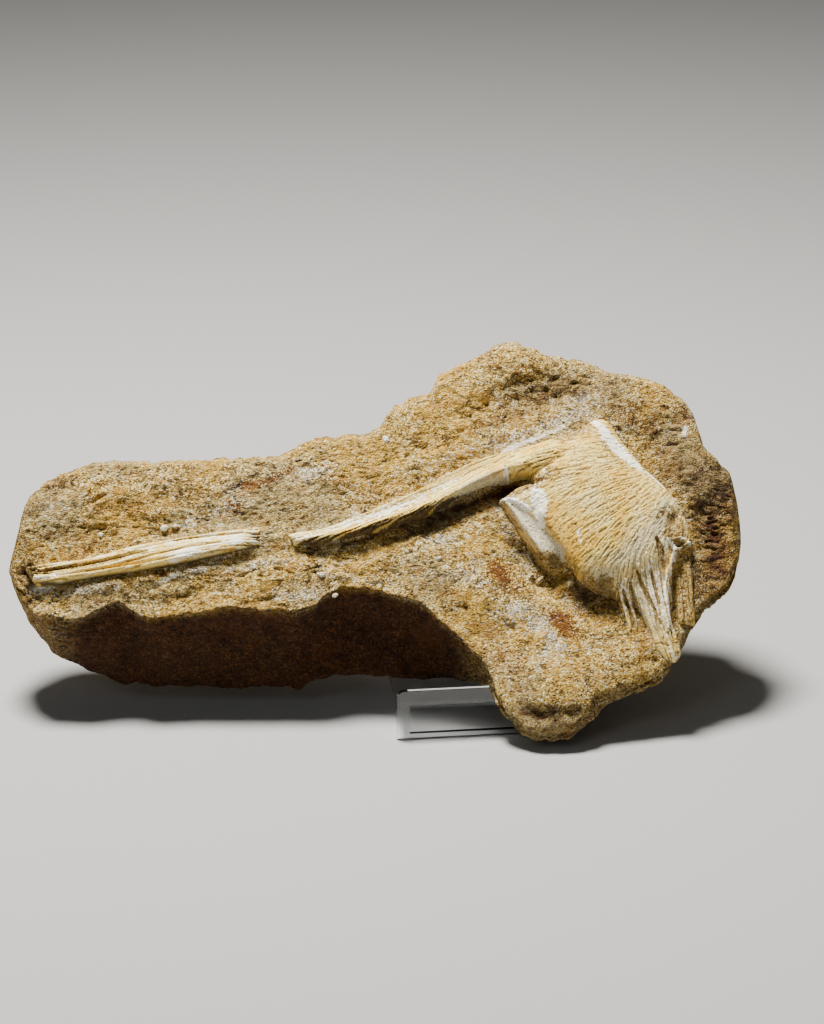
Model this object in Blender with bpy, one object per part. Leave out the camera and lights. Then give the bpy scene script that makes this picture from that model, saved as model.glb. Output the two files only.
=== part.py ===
import bpy
import bmesh
from math import cos, exp, pi, radians, sin
from mathutils import Matrix, Vector, noise

# Fossil mosasaur vertebra in a slab of sandstone that leans on a clear display stand.
# The slab is drawn in its own frame, in millimetres: u along the slab, v up its front
# face and w out of the face towards the viewer. Everything is turned into metres at the end.

MM = 0.001

# Turns that stand a flat outline up: across and up become x and z, or y and z.
FACING_FRONT = Matrix(((1, 0, 0, 0), (0, 0, -1, 0), (0, 1, 0, 0), (0, 0, 0, 1)))
FACING_SIDE = Matrix(((0, 0, 1, 0), (1, 0, 0, 0), (0, 1, 0, 0), (0, 0, 0, 1)))

# How the slab leans and where its toe is, seen from the middle of the stand's front foot.
SLAB_LEAN = radians(38.0)
SLAB_ORIGIN = Vector((-19.1, -15.2, 5.0))

# Clear stand, millimetres, in its own frame: x along the front, y back, z up.
STAND_WIDTH = 50.0
STAND_SHEET = 2.0
STAND_YAW = radians(7.0)
LIP_TOP = 19.5
LEDGE_TOP = 14.5
LEDGE_DEPTH = 36.0
LEG_WIDTH = 4.8
FOOT_BAR = 2.2
BACKREST_LENGTH = 58.0
BACKREST_LEAN = radians(38.0)
REAR_FOOT_Y = 92.0
LIP_CORNER = 3.0

# Gap left between pieces that touch.
FIT_GAP = 0.3

# Top outline of the slab (u, v), from the left end to the right end.
TOP_EDGE = [
    (-154.0, 69.5), (-152.6, 76.0), (-150.4, 84.8), (-148.9, 95.5), (-146.5, 99.7),
    (-142.0, 102.9), (-135.2, 106.1), (-125.7, 109.8), (-114.7, 113.1), (-100.8, 111.8),
    (-86.9, 112.6), (-73.1, 113.1), (-59.3, 114.7), (-50.1, 115.9), (-43.2, 119.6),
    (-35.5, 122.4), (-25.8, 123.7), (-15.4, 124.9), (-11.6, 127.3), (-9.4, 133.1),
    (-6.2, 136.0), (0.8, 138.8), (7.0, 140.9), (10.1, 147.1), (19.4, 152.1),
    (26.4, 156.2), (33.5, 160.6), (38.9, 161.2), (45.9, 159.4), (52.1, 156.4),
    (63.4, 154.9), (73.0, 151.6), (79.9, 148.7), (89.2, 146.4), (96.1, 144.2),
    (103.0, 139.8), (108.4, 133.6), (110.2, 127.4), (111.0, 121.4), (113.9, 117.0),
    (118.5, 113.4), (123.0, 109.0), (124.6, 99.5), (125.6, 91.4), (126.0, 80.4),
]

# Lower edge of the front face (u, v): the ledge of the left arm, then the lobe.
FRONT_FOOT = [
    (-154.0, 69.5), (-152.0, 64.0), (-148.0, 56.0), (-141.2, 48.3), (-130.2, 45.8),
    (-122.7, 46.4), (-116.1, 50.8), (-110.8, 52.4), (-105.9, 50.0), (-101.2, 45.9),
    (-91.1, 46.9), (-77.2, 48.9), (-67.8, 50.8), (-54.2, 49.3), (-42.2, 49.3),
    (-37.7, 50.6), (-33.9, 54.4), (-27.2, 57.9), (-18.9, 58.3), (-8.7, 55.5),
    (3.0, 52.4), (10.2, 46.1), (18.0, 39.1), (26.2, 30.5), (29.9, 23.0),
    (32.5, 15.5), (35.5, 10.5), (40.3, 5.5), (45.8, 2.8), (52.2, 2.2),
    (58.9, 3.2), (64.5, 7.5), (70.2, 13.9), (77.1, 18.5), (85.3, 21.2),
    (92.9, 25.0), (97.6, 30.7), (102.5, 40.0), (106.0, 49.5), (111.0, 54.5),
    (116.4, 58.0), (120.8, 63.2), (124.0, 70.7), (126.0, 80.4),
]

# Lowest outline of the slab (u, v, w): back edge of the left arm's underside, then the
# part that sits on the stand, then the lobe.
LOW_EDGE = [
    (-154.0, 69.5, -18.0), (-153.0, 65.5, -19.0), (-150.5, 59.0, -22.0),
    (-146.3, 52.0, -26.0), (-141.5, 46.0, -29.0), (-135.0, 41.3, -31.0),
    (-128.5, 37.9, -32.0), (-119.1, 34.0, -32.0), (-110.2, 30.6, -32.0),
    (-96.0, 30.0, -32.0), (-82.1, 28.8, -32.0), (-66.0, 28.4, -32.0),
    (-49.9, 29.6, -31.0), (-43.0, 28.6, -30.0), (-38.4, 31.8, -29.0),
    (-31.5, 33.6, -27.0), (-23.8, 33.4, -25.0), (-12.0, 31.4, -22.5),
    (0.0, 29.8, -21.0), (14.6, 28.6, -20.0), (22.0, 26.8, -17.0),
    (27.5, 23.5, -11.0), (30.5, 19.0, -5.0), (32.8, 12.6, -1.0),
    (35.5, 9.2, 0.0), (40.3, 4.2, 0.5), (45.8, 1.4, 0.5), (52.2, 0.8, 0.5),
    (58.9, 1.6, 0.0), (64.5, 5.6, -1.0), (70.2, 11.7, -2.5), (77.1, 16.0, -4.0),
    (85.3, 18.7, -4.5), (92.9, 22.5, -5.0), (97.6, 28.7, -5.5), (102.0, 37.0, -6.0),
    (106.0, 46.7, -6.5), (111.0, 53.0, -8.0), (116.4, 56.5, -9.0), (120.8, 61.7, -10.0),
    (123.8, 69.2, -12.0), (126.0, 80.4, -14.0),
]

# Middle of the underside (u, v, w), between the low edge and the back.
HEEL = [
    (-154.0, 69.5, -19.0), (-141.5, 52.0, -33.0), (-119.1, 38.0, -35.5),
    (-66.0, 33.0, -36.0), (-38.4, 36.0, -33.0), (-20.0, 36.6, -29.5),
    (0.0, 36.0, -28.8), (24.0, 35.5, -27.0), (31.0, 27.5, -13.0),
    (36.0, 26.0, -10.5), (45.0, 26.0, -11.0), (49.0, 17.0, -16.0),
    (60.0, 15.0, -17.0), (77.0, 25.0, -20.0), (98.0, 37.0, -22.0),
    (111.0, 60.0, -22.0), (126.0, 80.4, -16.0),
]

# Middle of the dark underside face (u, v, w), between the front foot and the low edge.
UNDERCUT = [
    (-154.0, 69.5, -15.0), (-148.0, 56.0, -13.0), (-135.0, 40.5, -15.0),
    (-119.0, 38.0, -15.0), (-105.0, 41.0, -16.0), (-92.0, 37.5, -14.5),
    (-66.0, 40.5, -16.5), (-46.0, 40.5, -17.5), (-30.0, 49.0, -19.0),
    (-18.0, 49.0, -18.0), (0.0, 42.5, -15.0), (14.6, 36.0, -12.5),
    (26.0, 26.5, -7.0), (31.0, 19.5, -2.5), (36.0, 9.8, 2.0), (52.0, 1.2, 3.0),
    (70.0, 12.4, 0.0), (98.0, 29.4, -3.0), (111.0, 53.4, -4.5), (126.0, 80.4, -12.0),
]

# Depth of the front and of the back of the slab (u, w).
FRONT_DEPTH = [(-154.0, -13.0), (-152.0, -8.0), (-147.0, -3.0), (-140.0, -0.5), (-128.0, 0.0),
               (108.0, 0.0), (116.0, -1.5), (122.0, -4.5), (126.0, -11.0)]
BACK_DEPTH = [(-154.0, -23.0), (-152.0, -27.0), (-146.0, -32.0), (-135.0, -36.0), (-60.0, -37.0),
              (-22.0, -31.5), (-12.0, -30.2), (46.0, -35.6), (70.0, -38.0), (105.0, -35.0),
              (119.0, -29.0), (126.0, -19.0)]

# Mounds and hollows of the front face: u, v, half length, half width, turn in degrees, height.
RELIEF = [
    (51.0, 68.0, 17.0, 9.0, -52.0, -7.5),
    (70.0, 51.0, 13.0, 6.0, 5.0, -5.0),
    (36.0, 98.0, 8.0, 5.0, 20.0, -3.5),
    (10.0, 86.0, 30.0, 4.5, 24.0, -3.2),
    (-60.0, 71.0, 40.0, 4.0, 10.0, -1.6),
    (20.0, 113.0, 34.0, 5.0, 22.0, 1.4),
    (52.0, 138.0, 16.0, 8.0, 12.0, -2.8),
    (88.0, 132.0, 16.0, 9.0, -18.0, 2.2),
    (115.0, 79.0, 7.0, 15.0, 4.0, -3.2),
    (-100.0, 97.0, 42.0, 10.0, 2.0, 2.0),
    (-20.0, 108.0, 22.0, 9.0, 10.0, 1.2),
    (28.0, 145.0, 16.0, 8.0, 28.0, 2.4),
    (-95.0, 53.0, 48.0, 5.0, 2.0, -2.2),
    (10.0, 66.0, 30.0, 9.0, -30.0, 2.2),
    (52.0, 14.0, 20.0, 17.0, -10.0, 7.0),
    (84.0, 32.0, 12.0, 7.0, 30.0, 2.4),
    (-141.0, 60.0, 8.0, 11.0, -30.0, -3.0),
]

# Near length of the long spine, then the body of the bone: upper and lower edge (u, v) with
# the height of each edge and of the crown between them.
SPINE_AND_BODY = [
    ((-46.6, 80.4), (-43.6, 75.0), 1.0, 1.0, 2.4),
    ((-34.5, 82.4), (-34.2, 76.3), 1.2, 0.6, 4.0),
    ((-22.0, 86.8), (-21.0, 78.8), 1.4, 0.4, 5.0),
    ((-9.1, 92.1), (-8.6, 82.1), 1.5, 0.2, 5.8),
    ((3.0, 96.5), (4.5, 86.8), 1.6, 0.0, 6.4),
    ((17.0, 104.0), (19.5, 94.4), 1.8, 0.0, 7.2),
    ((28.0, 109.6), (32.0, 100.2), 2.2, 0.4, 8.2),
    ((40.0, 113.2), (43.5, 102.0), 2.6, 3.0, 9.4),
    ((52.0, 117.0), (46.5, 98.0), 3.0, 8.5, 11.0),
    ((63.0, 121.0), (49.0, 90.5), 3.2, 10.5, 12.6),
    ((73.4, 125.1), (51.0, 83.5), 3.4, 11.0, 13.8),
    ((81.5, 114.0), (55.0, 76.0), 5.0, 11.2, 14.6),
    ((89.0, 104.5), (60.0, 68.0), 6.0, 10.8, 14.6),
    ((96.5, 97.0), (65.0, 61.2), 6.0, 8.6, 13.8),
    ((102.0, 89.0), (70.5, 57.4), 5.4, 6.0, 12.2),
    ((105.2, 80.4), (75.0, 56.0), 4.0, 4.6, 10.2),
    ((106.2, 71.0), (78.6, 54.0), 3.0, 3.4, 8.2),
    ((106.0, 62.0), (81.5, 50.8), 2.2, 2.4, 6.2),
    ((105.0, 55.0), (84.6, 48.0), 1.6, 1.6, 4.4),
]

# Far length of the long spine, beyond the sand-filled break.
SPINE_TIP = [
    ((-145.0, 67.4), (-141.0, 61.4), 0.8, 0.8, 1.6),
    ((-134.0, 69.0), (-132.0, 60.4), 1.0, 0.8, 2.8),
    ((-122.0, 70.8), (-120.0, 62.6), 1.2, 0.6, 3.6),
    ((-105.1, 75.6), (-105.0, 64.6), 1.4, 0.6, 4.4),
    ((-85.1, 79.2), (-84.6, 68.6), 1.4, 0.6, 4.8),
    ((-66.0, 82.2), (-66.0, 73.0), 1.4, 0.6, 4.4),
    ((-57.0, 82.8), (-58.0, 75.2), 1.2, 0.8, 3.2),
]

# Cup at the lower left of the body: outer edge and inner edge (u, v), then the height of
# the outer edge, of the rim, of the trough and of the inner edge.
CUP = [
    ((35.0, 97.0), (47.5, 99.5), 0.0, 4.6, 5.5, 6.0),
    ((33.6, 92.0), (54.0, 92.5), -0.5, 6.2, 5.6, 6.4),
    ((36.2, 86.0), (57.0, 86.0), -1.5, 6.4, 4.2, 6.0),
    ((39.5, 80.6), (60.0, 79.5), -3.0, 6.0, 3.0, 5.0),
    ((43.0, 75.4), (63.0, 73.0), -4.0, 5.4, 2.4, 4.0),
    ((46.6, 71.0), (67.0, 68.0), -4.5, 4.6, 1.6, 3.0),
    ((50.0, 67.0), (70.0, 64.5), -4.5, 3.2, 0.8, 2.0),
    ((54.0, 64.0), (70.0, 62.6), -5.0, 0.0, -1.0, 0.0),
]

# Strands of the fan: points (u, v, w, half width, half height).
FAN_STRANDS = {
    "left strand": [(79.0, 60.0, 2.0, 4.0, 4.0), (80.6, 53.0, 1.2, 3.4, 3.2),
                    (82.4, 46.8, 0.6, 2.4, 2.2), (84.4, 42.6, 0.2, 1.0, 1.0)],
    "main strand": [(90.0, 62.0, 1.5, 7.5, 6.0), (91.8, 52.0, 1.0, 6.8, 4.8),
                    (94.0, 42.0, 0.4, 6.0, 3.6), (96.2, 33.6, -0.4, 4.6, 2.6),
                    (97.6, 28.4, -1.0, 2.2, 1.4)],
    "right strand": [(102.0, 66.0, 1.2, 4.0, 4.4), (103.6, 56.0, 0.6, 3.8, 3.4),
                     (103.8, 48.0, 0.0, 3.0, 2.4), (102.4, 43.4, -0.4, 1.6, 1.2)],
    "ridge": [(96.4, 77.0, 6.0, 1.2, 2.2), (98.6, 71.0, 5.6, 1.6, 2.6),
              (97.8, 65.0, 4.0, 1.4, 2.2), (96.6, 57.0, 2.4, 0.9, 1.4)],
}


def along(points, x):
    """Straight-line reading of a list of points at x; the first number of each point is x."""
    if x <= points[0][0]:
        return points[0][1:]
    for first, second in zip(points, points[1:]):
        if x <= second[0]:
            part = (x - first[0]) / (second[0] - first[0])
            return [a + (b - a) * part for a, b in zip(first[1:], second[1:])]
    return points[-1][1:]


def spline(before, start, end, after, part):
    """Catmull-Rom point between start and end."""
    square = part * part
    cube = square * part
    return [
        0.5 * (2 * b + (c - a) * part + (2 * a - 5 * b + 4 * c - d) * square
               + (3 * b - a - 3 * c + d) * cube)
        for a, b, c, d in zip(before, start, end, after)
    ]


def refine(rows, steps):
    """Rows of numbers with steps - 1 more rows between each pair, on a smooth curve."""
    fine = []
    for i in range(len(rows) - 1):
        before = rows[max(i - 1, 0)]
        after = rows[min(i + 2, len(rows) - 1)]
        for step in range(steps):
            fine.append(spline(before, rows[i], rows[i + 1], after, step / steps))
    fine.append(list(rows[-1]))
    return fine


def relief(u, v):
    """Height of the front face over the flat face plane."""
    height = 0.0
    for centre_u, centre_v, length, width, turn, rise in RELIEF:
        du = u - centre_u
        dv = v - centre_v
        c = cos(radians(turn))
        s = sin(radians(turn))
        far = ((du * c + dv * s) / length) ** 2 + ((dv * c - du * s) / width) ** 2
        height += rise * exp(-far)
    return height


def roughness(u, v, w):
    """Broken-rock unevenness, the same wherever it is asked for."""
    large = noise.noise(Vector((u / 24.0, v / 19.0, w / 17.0 + 3.0)))
    ridge = 0.5 - abs(noise.noise(Vector((u / 15.0 + 5.0, v / 13.0, w / 12.0))))
    small = noise.noise(Vector((u / 8.0 + 9.0, v / 7.0, w / 7.5)))
    return 2.6 * large + 2.4 * (ridge - 0.3) + 1.5 * small


def slab_section(u):
    """Closed outline of the slab at u as (v, w, share of front relief) points."""
    top = along(TOP_EDGE, u)[0]
    foot = along(FRONT_FOOT, u)[0]
    low_v, low_w = along(LOW_EDGE, u)
    heel_v, heel_w = along(HEEL, u)
    under_v, under_w = along(UNDERCUT, u)
    front = along(FRONT_DEPTH, u)[0]
    back = along(BACK_DEPTH, u)[0]
    tall = top - foot
    edge = min(5.0, tall * 0.22)
    top_w = min(front - 2.0, -8.0 + 0.3 * (front + back))
    top_w = max(top_w, back + 0.45 * (front - back))
    return [
        (foot, front - 1.6, 0.3, 1),
        (foot + edge * 0.6, front - 0.2, 0.8, 1),
        (foot + tall * 0.18, front, 1.0, 4),
        (foot + tall * 0.5, front, 1.0, 4),
        (top - tall * 0.18, front, 1.0, 3),
        (top - edge, front - 0.8, 0.7, 2),
        (top - edge * 0.3, front + 0.45 * (top_w - front), 0.2, 1),
        (top, top_w, 0.0, 2),
        (top - edge * 0.4, back + 0.2 * (front - back), 0.0, 2),
        (top - edge * 2.0, back + 0.8, 0.0, 2),
        (heel_v + 0.55 * (top - heel_v), back, 0.0, 3),
        (heel_v + 0.12 * (top - heel_v), back + 0.4, 0.0, 2),
        (heel_v, heel_w, 0.0, 2),
        (low_v, low_w, 0.0, 2),
        (under_v, under_w, 0.1, 2),
    ]


def section_points(u):
    corners = slab_section(u)
    points = []
    for i, (v, w, share, steps) in enumerate(corners):
        before = corners[i - 1][:3]
        end = corners[(i + 1) % len(corners)][:3]
        after = corners[(i + 2) % len(corners)][:3]
        for step in range(steps):
            points.append(spline(before, (v, w, share), end, after, step / steps))
    return points


def slab_stations():
    """Places along the slab where a section is drawn, closer together at both ends."""
    stations = [-153.4, -152.2, -150.2, -147.8, -145.0, -141.0]
    u = -136.0
    while u < 26.0:
        stations.append(u)
        u += 4.7
    stations += [28.0, 30.6, 33.0, 36.0, 39.5, 43.5, 48.0, 52.5, 57.5, 62.5, 67.5, 72.5]
    stations += [77.5, 82.0, 87.0, 92.0, 96.5, 101.0, 104.8, 107.8, 109.4, 111.4, 114.0]
    stations += [117.0, 120.0, 122.6]
    stations += [124.4, 125.5]
    return stations


def mesh_from_rings(name, rings, caps):
    """Closed mesh from rings of points, with one point closing each end."""
    count = len(rings[0])
    vertices = [point for ring in rings for point in ring]
    faces = []
    for i in range(len(rings) - 1):
        for j in range(count):
            k = (j + 1) % count
            faces.append((i * count + j, i * count + k, (i + 1) * count + k, (i + 1) * count + j))
    first = len(vertices)
    vertices += caps
    last_ring = (len(rings) - 1) * count
    for j in range(count):
        k = (j + 1) % count
        faces.append((k, j, first))
        faces.append((last_ring + j, last_ring + k, first + 1))
    mesh = bpy.data.meshes.new(name)
    mesh.from_pydata([(x * MM, y * MM, z * MM) for x, y, z in vertices], [], faces)
    mesh.update()
    shape = bmesh.new()
    shape.from_mesh(mesh)
    bmesh.ops.recalc_face_normals(shape, faces=shape.faces)
    shape.to_mesh(mesh)
    shape.free()
    return mesh


def slab_mesh(name):
    rings = []
    for u in slab_stations():
        ring = []
        points = section_points(u)
        middle_v = sum(p[0] for p in points) / len(points)
        middle_w = sum(p[1] for p in points) / len(points)
        fade = min(1.0, (u + 154.0) / 8.0, (126.0 - u) / 8.0)
        for v, w, share in points:
            out = Vector((v - middle_v, (w - middle_w) * 2.5)).normalized()
            bump = roughness(u, v, w) * fade * (1.0 - 0.62 * share)
            rise = relief(u, v) * share * fade
            ring.append((u, v + out.x * bump * 0.5, w + out.y * bump + rise))
        rings.append(ring)
    left = [sum(p[i] for p in rings[0]) / len(rings[0]) for i in range(3)]
    right = [sum(p[i] for p in rings[-1]) / len(rings[-1]) for i in range(3)]
    left[0] = -154.0
    right[0] = 126.0
    return mesh_from_rings(name, rings, [tuple(left), tuple(right)])


def ridge_mesh(name, stations, depth, steps, spread=0.62):
    """Long rounded bone drawn between two edges, with a flat underside in the rock."""
    rows = [list(a) + list(b) + [rise_a, rise_b, crown] for a, b, rise_a, rise_b, crown in stations]
    rings = []
    for au, av, bu, bv, rise_a, rise_b, crown in refine(rows, steps):
        ring = []
        for across in (0.0, 0.05, 0.16, 0.34, 0.54, 0.74, 0.89, 0.97, 1.0):
            level = rise_a + (rise_b - rise_a) * across
            arch = sin(pi * across) ** spread
            ring.append((au + (bu - au) * across, av + (bv - av) * across,
                         level + (crown - level) * arch))
        for across in (0.985, 0.5, 0.015):
            ring.append((au + (bu - au) * across, av + (bv - av) * across, depth))
        rings.append(ring)
    caps = []
    for ring in (rings[0], rings[-1]):
        caps.append(tuple(sum(p[i] for p in ring) / len(ring) for i in range(3)))
    return mesh_from_rings(name, rings, caps)


def cup_mesh(name, depth, steps):
    rows = [list(a) + list(b) + list(rest) for a, b, *rest in CUP]
    rings = []
    for au, av, bu, bv, outer, rim, trough, inner in refine(rows, steps):
        ring = []
        heights = ((0.0, outer), (0.07, 0.45 * outer + 0.55 * rim), (0.13, rim), (0.24, rim * 0.93),
                   (0.42, trough), (0.68, trough), (1.0, inner), (0.98, depth), (0.5, depth),
                   (0.02, depth))
        for across, height in heights:
            ring.append((au + (bu - au) * across, av + (bv - av) * across, height))
        rings.append(ring)
    caps = []
    for ring in (rings[0], rings[-1]):
        caps.append(tuple(sum(p[i] for p in ring) / len(ring) for i in range(3)))
    return mesh_from_rings(name, rings, caps)


def strand_mesh(name, points, sides, steps):
    """Tapering strand with an oval section."""
    rows = refine([list(point) for point in points], steps)
    rings = []
    for i, (u, v, w, half_width, half_height) in enumerate(rows):
        before = rows[max(i - 1, 0)]
        after = rows[min(i + 1, len(rows) - 1)]
        way = Vector((after[0] - before[0], after[1] - before[1])).normalized()
        ring = []
        for k in range(sides):
            turn = 2 * pi * k / sides
            side = cos(turn) * half_width
            ring.append((u - way.y * side, v + way.x * side, w + sin(turn) * half_height))
        rings.append(ring)
    caps = [tuple(rows[0][:3]), tuple(rows[-1][:3])]
    return mesh_from_rings(name, rings, caps)


def new_object(name, mesh, collection, parent):
    item = bpy.data.objects.new(name, mesh)
    collection.objects.link(item)
    item.parent = parent
    return item


def plain_material(name, colour, roughness_value, transmission=0.0, ior=1.5):
    material = bpy.data.materials.new(name)
    material.use_nodes = True
    shader = material.node_tree.nodes["Principled BSDF"]
    shader.inputs["Base Color"].default_value = (*colour, 1.0)
    shader.inputs["Roughness"].default_value = roughness_value
    shader.inputs["Transmission Weight"].default_value = transmission
    shader.inputs["IOR"].default_value = ior
    return material


def combine(target, other, operation):
    """Boolean of two objects, kept as plain mesh on the first."""
    modifier = target.modifiers.new("combine", "BOOLEAN")
    modifier.operation = operation
    modifier.solver = "EXACT"
    modifier.object = other
    bpy.context.view_layer.update()
    graph = bpy.context.evaluated_depsgraph_get()
    result = bpy.data.meshes.new_from_object(target.evaluated_get(graph))
    target.modifiers.remove(modifier)
    old = target.data
    target.data = result
    bpy.data.meshes.remove(old)
    shape = bmesh.new()
    shape.from_mesh(result)
    bmesh.ops.remove_doubles(shape, verts=shape.verts, dist=0.00001)
    bmesh.ops.dissolve_degenerate(shape, edges=shape.edges, dist=0.00001)
    shape.to_mesh(result)
    shape.free()


def swollen(mesh, amount):
    """Copy of a closed mesh, larger by amount on every side."""
    copy = mesh.copy()
    shape = bmesh.new()
    shape.from_mesh(copy)
    shape.normal_update()
    moves = [(vertex, vertex.normal * amount * MM * min(vertex.calc_shell_factor(), 1.6))
             for vertex in shape.verts]
    for vertex, move in moves:
        vertex.co += move
    shape.to_mesh(copy)
    shape.free()
    return copy


def box(name, low, high):
    mesh = bpy.data.meshes.new(name)
    shape = bmesh.new()
    bmesh.ops.create_cube(shape, size=1.0)
    for vertex in shape.verts:
        vertex.co = Vector([
            (low[i] if vertex.co[i] < 0 else high[i]) * MM for i in range(3)
        ])
    shape.to_mesh(mesh)
    shape.free()
    return mesh


def plate(name, outline, half_thickness, upright):
    """Closed mesh of a flat outline given some thickness, stood up by the upright matrix."""
    curve = bpy.data.curves.new(name, "CURVE")
    curve.dimensions = "2D"
    curve.fill_mode = "BOTH"
    curve.extrude = half_thickness * MM
    line = curve.splines.new("POLY")
    line.points.add(len(outline) - 1)
    for point, (across, up) in zip(line.points, outline):
        point.co = (across * MM, up * MM, 0.0, 1.0)
    line.use_cyclic_u = True
    holder = bpy.data.objects.new(name, curve)
    bpy.context.scene.collection.objects.link(holder)
    bpy.context.view_layer.update()
    graph = bpy.context.evaluated_depsgraph_get()
    mesh = bpy.data.meshes.new_from_object(holder.evaluated_get(graph))
    bpy.data.objects.remove(holder, do_unlink=True)
    bpy.data.curves.remove(curve)
    mesh.transform(upright)
    mesh.name = name
    shape = bmesh.new()
    shape.from_mesh(mesh)
    bmesh.ops.remove_doubles(shape, verts=shape.verts, dist=0.00001)
    bmesh.ops.recalc_face_normals(shape, faces=shape.faces)
    shape.to_mesh(mesh)
    shape.free()
    return mesh


def front_outline():
    """Front plate (x, z) with a lip that has rounded corners."""
    half = STAND_WIDTH / 2
    corner = half - LIP_CORNER
    outline = [(half, 0.0)]
    for step in range(7):
        turn = radians(15.0 * step)
        outline.append((corner + LIP_CORNER * cos(turn), LIP_TOP - LIP_CORNER + LIP_CORNER * sin(turn)))
    for step in range(7):
        turn = radians(90.0 + 15.0 * step)
        outline.append((LIP_CORNER * cos(turn) - corner, LIP_TOP - LIP_CORNER + LIP_CORNER * sin(turn)))
    outline.append((-half, 0.0))
    return outline


def backrest_outline():
    """Side outline (y, z) of the ledge, the leaning backrest and the rear leg as one strip."""
    top_y = LEDGE_DEPTH + BACKREST_LENGTH * sin(BACKREST_LEAN)
    top_z = LEDGE_TOP + BACKREST_LENGTH * cos(BACKREST_LEAN)
    sheet = STAND_SHEET
    return [
        (0.0, LEDGE_TOP), (LEDGE_DEPTH - 1.2, LEDGE_TOP), (LEDGE_DEPTH - 0.3, LEDGE_TOP + 0.3),
        (LEDGE_DEPTH + 0.4, LEDGE_TOP + 1.1), (top_y, top_z), (top_y + 0.9, top_z + 0.9),
        (top_y + 2.2, top_z + 1.3), (top_y + 3.4, top_z + 0.9), (top_y + 4.0, top_z - 0.4),
        (REAR_FOOT_Y + sheet * 1.05, 0.0), (REAR_FOOT_Y, 0.0), (top_y + 1.6, top_z - 1.6),
        (LEDGE_DEPTH + 1.9, LEDGE_TOP - 0.6), (LEDGE_DEPTH + 0.7, LEDGE_TOP - 1.6),
        (LEDGE_DEPTH - 0.6, LEDGE_TOP - sheet), (0.0, LEDGE_TOP - sheet),
    ]


def stand_keepout():
    """Side outline (y, z) that the rock stays out of, with the fit gap."""
    gap = FIT_GAP
    front = -STAND_SHEET / 2 - gap
    behind_lip = STAND_SHEET / 2 + gap
    rest_y = LEDGE_DEPTH - gap / cos(BACKREST_LEAN)
    top_y = rest_y + (BACKREST_LENGTH + 3.0) * sin(BACKREST_LEAN)
    top_z = LEDGE_TOP + gap + (BACKREST_LENGTH + 3.0) * cos(BACKREST_LEAN)
    return [
        (front, -2.0), (front, LIP_TOP + gap), (behind_lip, LIP_TOP + gap),
        (behind_lip, LEDGE_TOP + gap), (rest_y - 1.5, LEDGE_TOP + gap),
        (rest_y + 0.1, LEDGE_TOP + gap + 1.1), (top_y, top_z), (REAR_FOOT_Y + 5.0, top_z),
        (REAR_FOOT_Y + 5.0, -2.0),
    ]


for old in list(bpy.data.objects):
    bpy.data.objects.remove(old, do_unlink=True)

fossil = bpy.data.collections.new("fossil mosasaur vertebra")
cutters = bpy.data.collections.new("cutters")
bpy.context.scene.collection.children.link(fossil)
bpy.context.scene.collection.children.link(cutters)

slab_frame = bpy.data.objects.new("slab_frame", None)
slab_frame.location = SLAB_ORIGIN * MM
slab_frame.rotation_euler = (pi / 2 - SLAB_LEAN, 0.0, 0.0)
fossil.objects.link(slab_frame)
stand_frame = bpy.data.objects.new("stand_frame", None)
stand_frame.rotation_euler = (0.0, 0.0, STAND_YAW)
fossil.objects.link(stand_frame)

sandstone = plain_material("sandstone", (0.50, 0.36, 0.20), 0.95)
bone = plain_material("fossil bone", (0.72, 0.62, 0.38), 0.8)
acrylic = plain_material("clear acrylic", (0.97, 0.99, 1.0), 0.05, transmission=1.0, ior=1.49)

# Stand: front plate with its window cut out, joined to the ledge, backrest and rear leg.
stand = new_object(
    "display_stand", plate("display_stand", front_outline(), STAND_SHEET / 2, FACING_FRONT),
    fossil, stand_frame)
window = new_object(
    "window cutter",
    box("window cutter", (-STAND_WIDTH / 2 + LEG_WIDTH, -3.0, FOOT_BAR),
        (STAND_WIDTH / 2 - LEG_WIDTH, 3.0, LEDGE_TOP - STAND_SHEET)),
    cutters, stand_frame)
combine(stand, window, "DIFFERENCE")
strip = new_object(
    "backrest strip",
    plate("backrest strip", backrest_outline(), STAND_WIDTH / 2 - 0.4, FACING_SIDE),
    cutters, stand_frame)
combine(stand, strip, "UNION")
stand.data.materials.clear()
stand.data.materials.append(acrylic)

# Bone: the body with the near length of the spine, the cup and the fan, as one piece.
vertebra_parts = [
    ridge_mesh("spine and body", SPINE_AND_BODY, -8.4, 2),
    cup_mesh("cup", -9.3, 2),
]
for strand_name, strand_points in FAN_STRANDS.items():
    vertebra_parts.append(strand_mesh(strand_name, strand_points, 10, 2))
tip_mesh = ridge_mesh("spine_tip", SPINE_TIP, -3.8, 2)

matrix = new_object("matrix", slab_mesh("matrix"), fossil, slab_frame)
for part_mesh in vertebra_parts + [tip_mesh]:
    pocket = new_object(part_mesh.name + " pocket", swollen(part_mesh, FIT_GAP), cutters, slab_frame)
    combine(matrix, pocket, "DIFFERENCE")
keepout = new_object(
    "stand cutter",
    plate("stand cutter", stand_keepout(), STAND_WIDTH / 2 + FIT_GAP, FACING_SIDE),
    cutters, stand_frame)
combine(matrix, keepout, "DIFFERENCE")
matrix.data.materials.clear()
matrix.data.materials.append(sandstone)

vertebra = new_object("vertebra", vertebra_parts[0], fossil, slab_frame)
for part_mesh in vertebra_parts[1:]:
    addition = new_object(part_mesh.name, part_mesh, cutters, slab_frame)
    combine(vertebra, addition, "UNION")
vertebra.data.materials.clear()
vertebra.data.materials.append(bone)
spine_tip = new_object("spine_tip", tip_mesh, fossil, slab_frame)
spine_tip.data.materials.append(bone)

for cutter in cutters.objects:
    cutter.hide_render = True
    cutter.display_type = "WIRE"
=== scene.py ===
from math import cos, pi, radians, sin, tan

import bmesh
import bpy
import numpy as np
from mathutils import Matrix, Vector, noise


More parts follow.
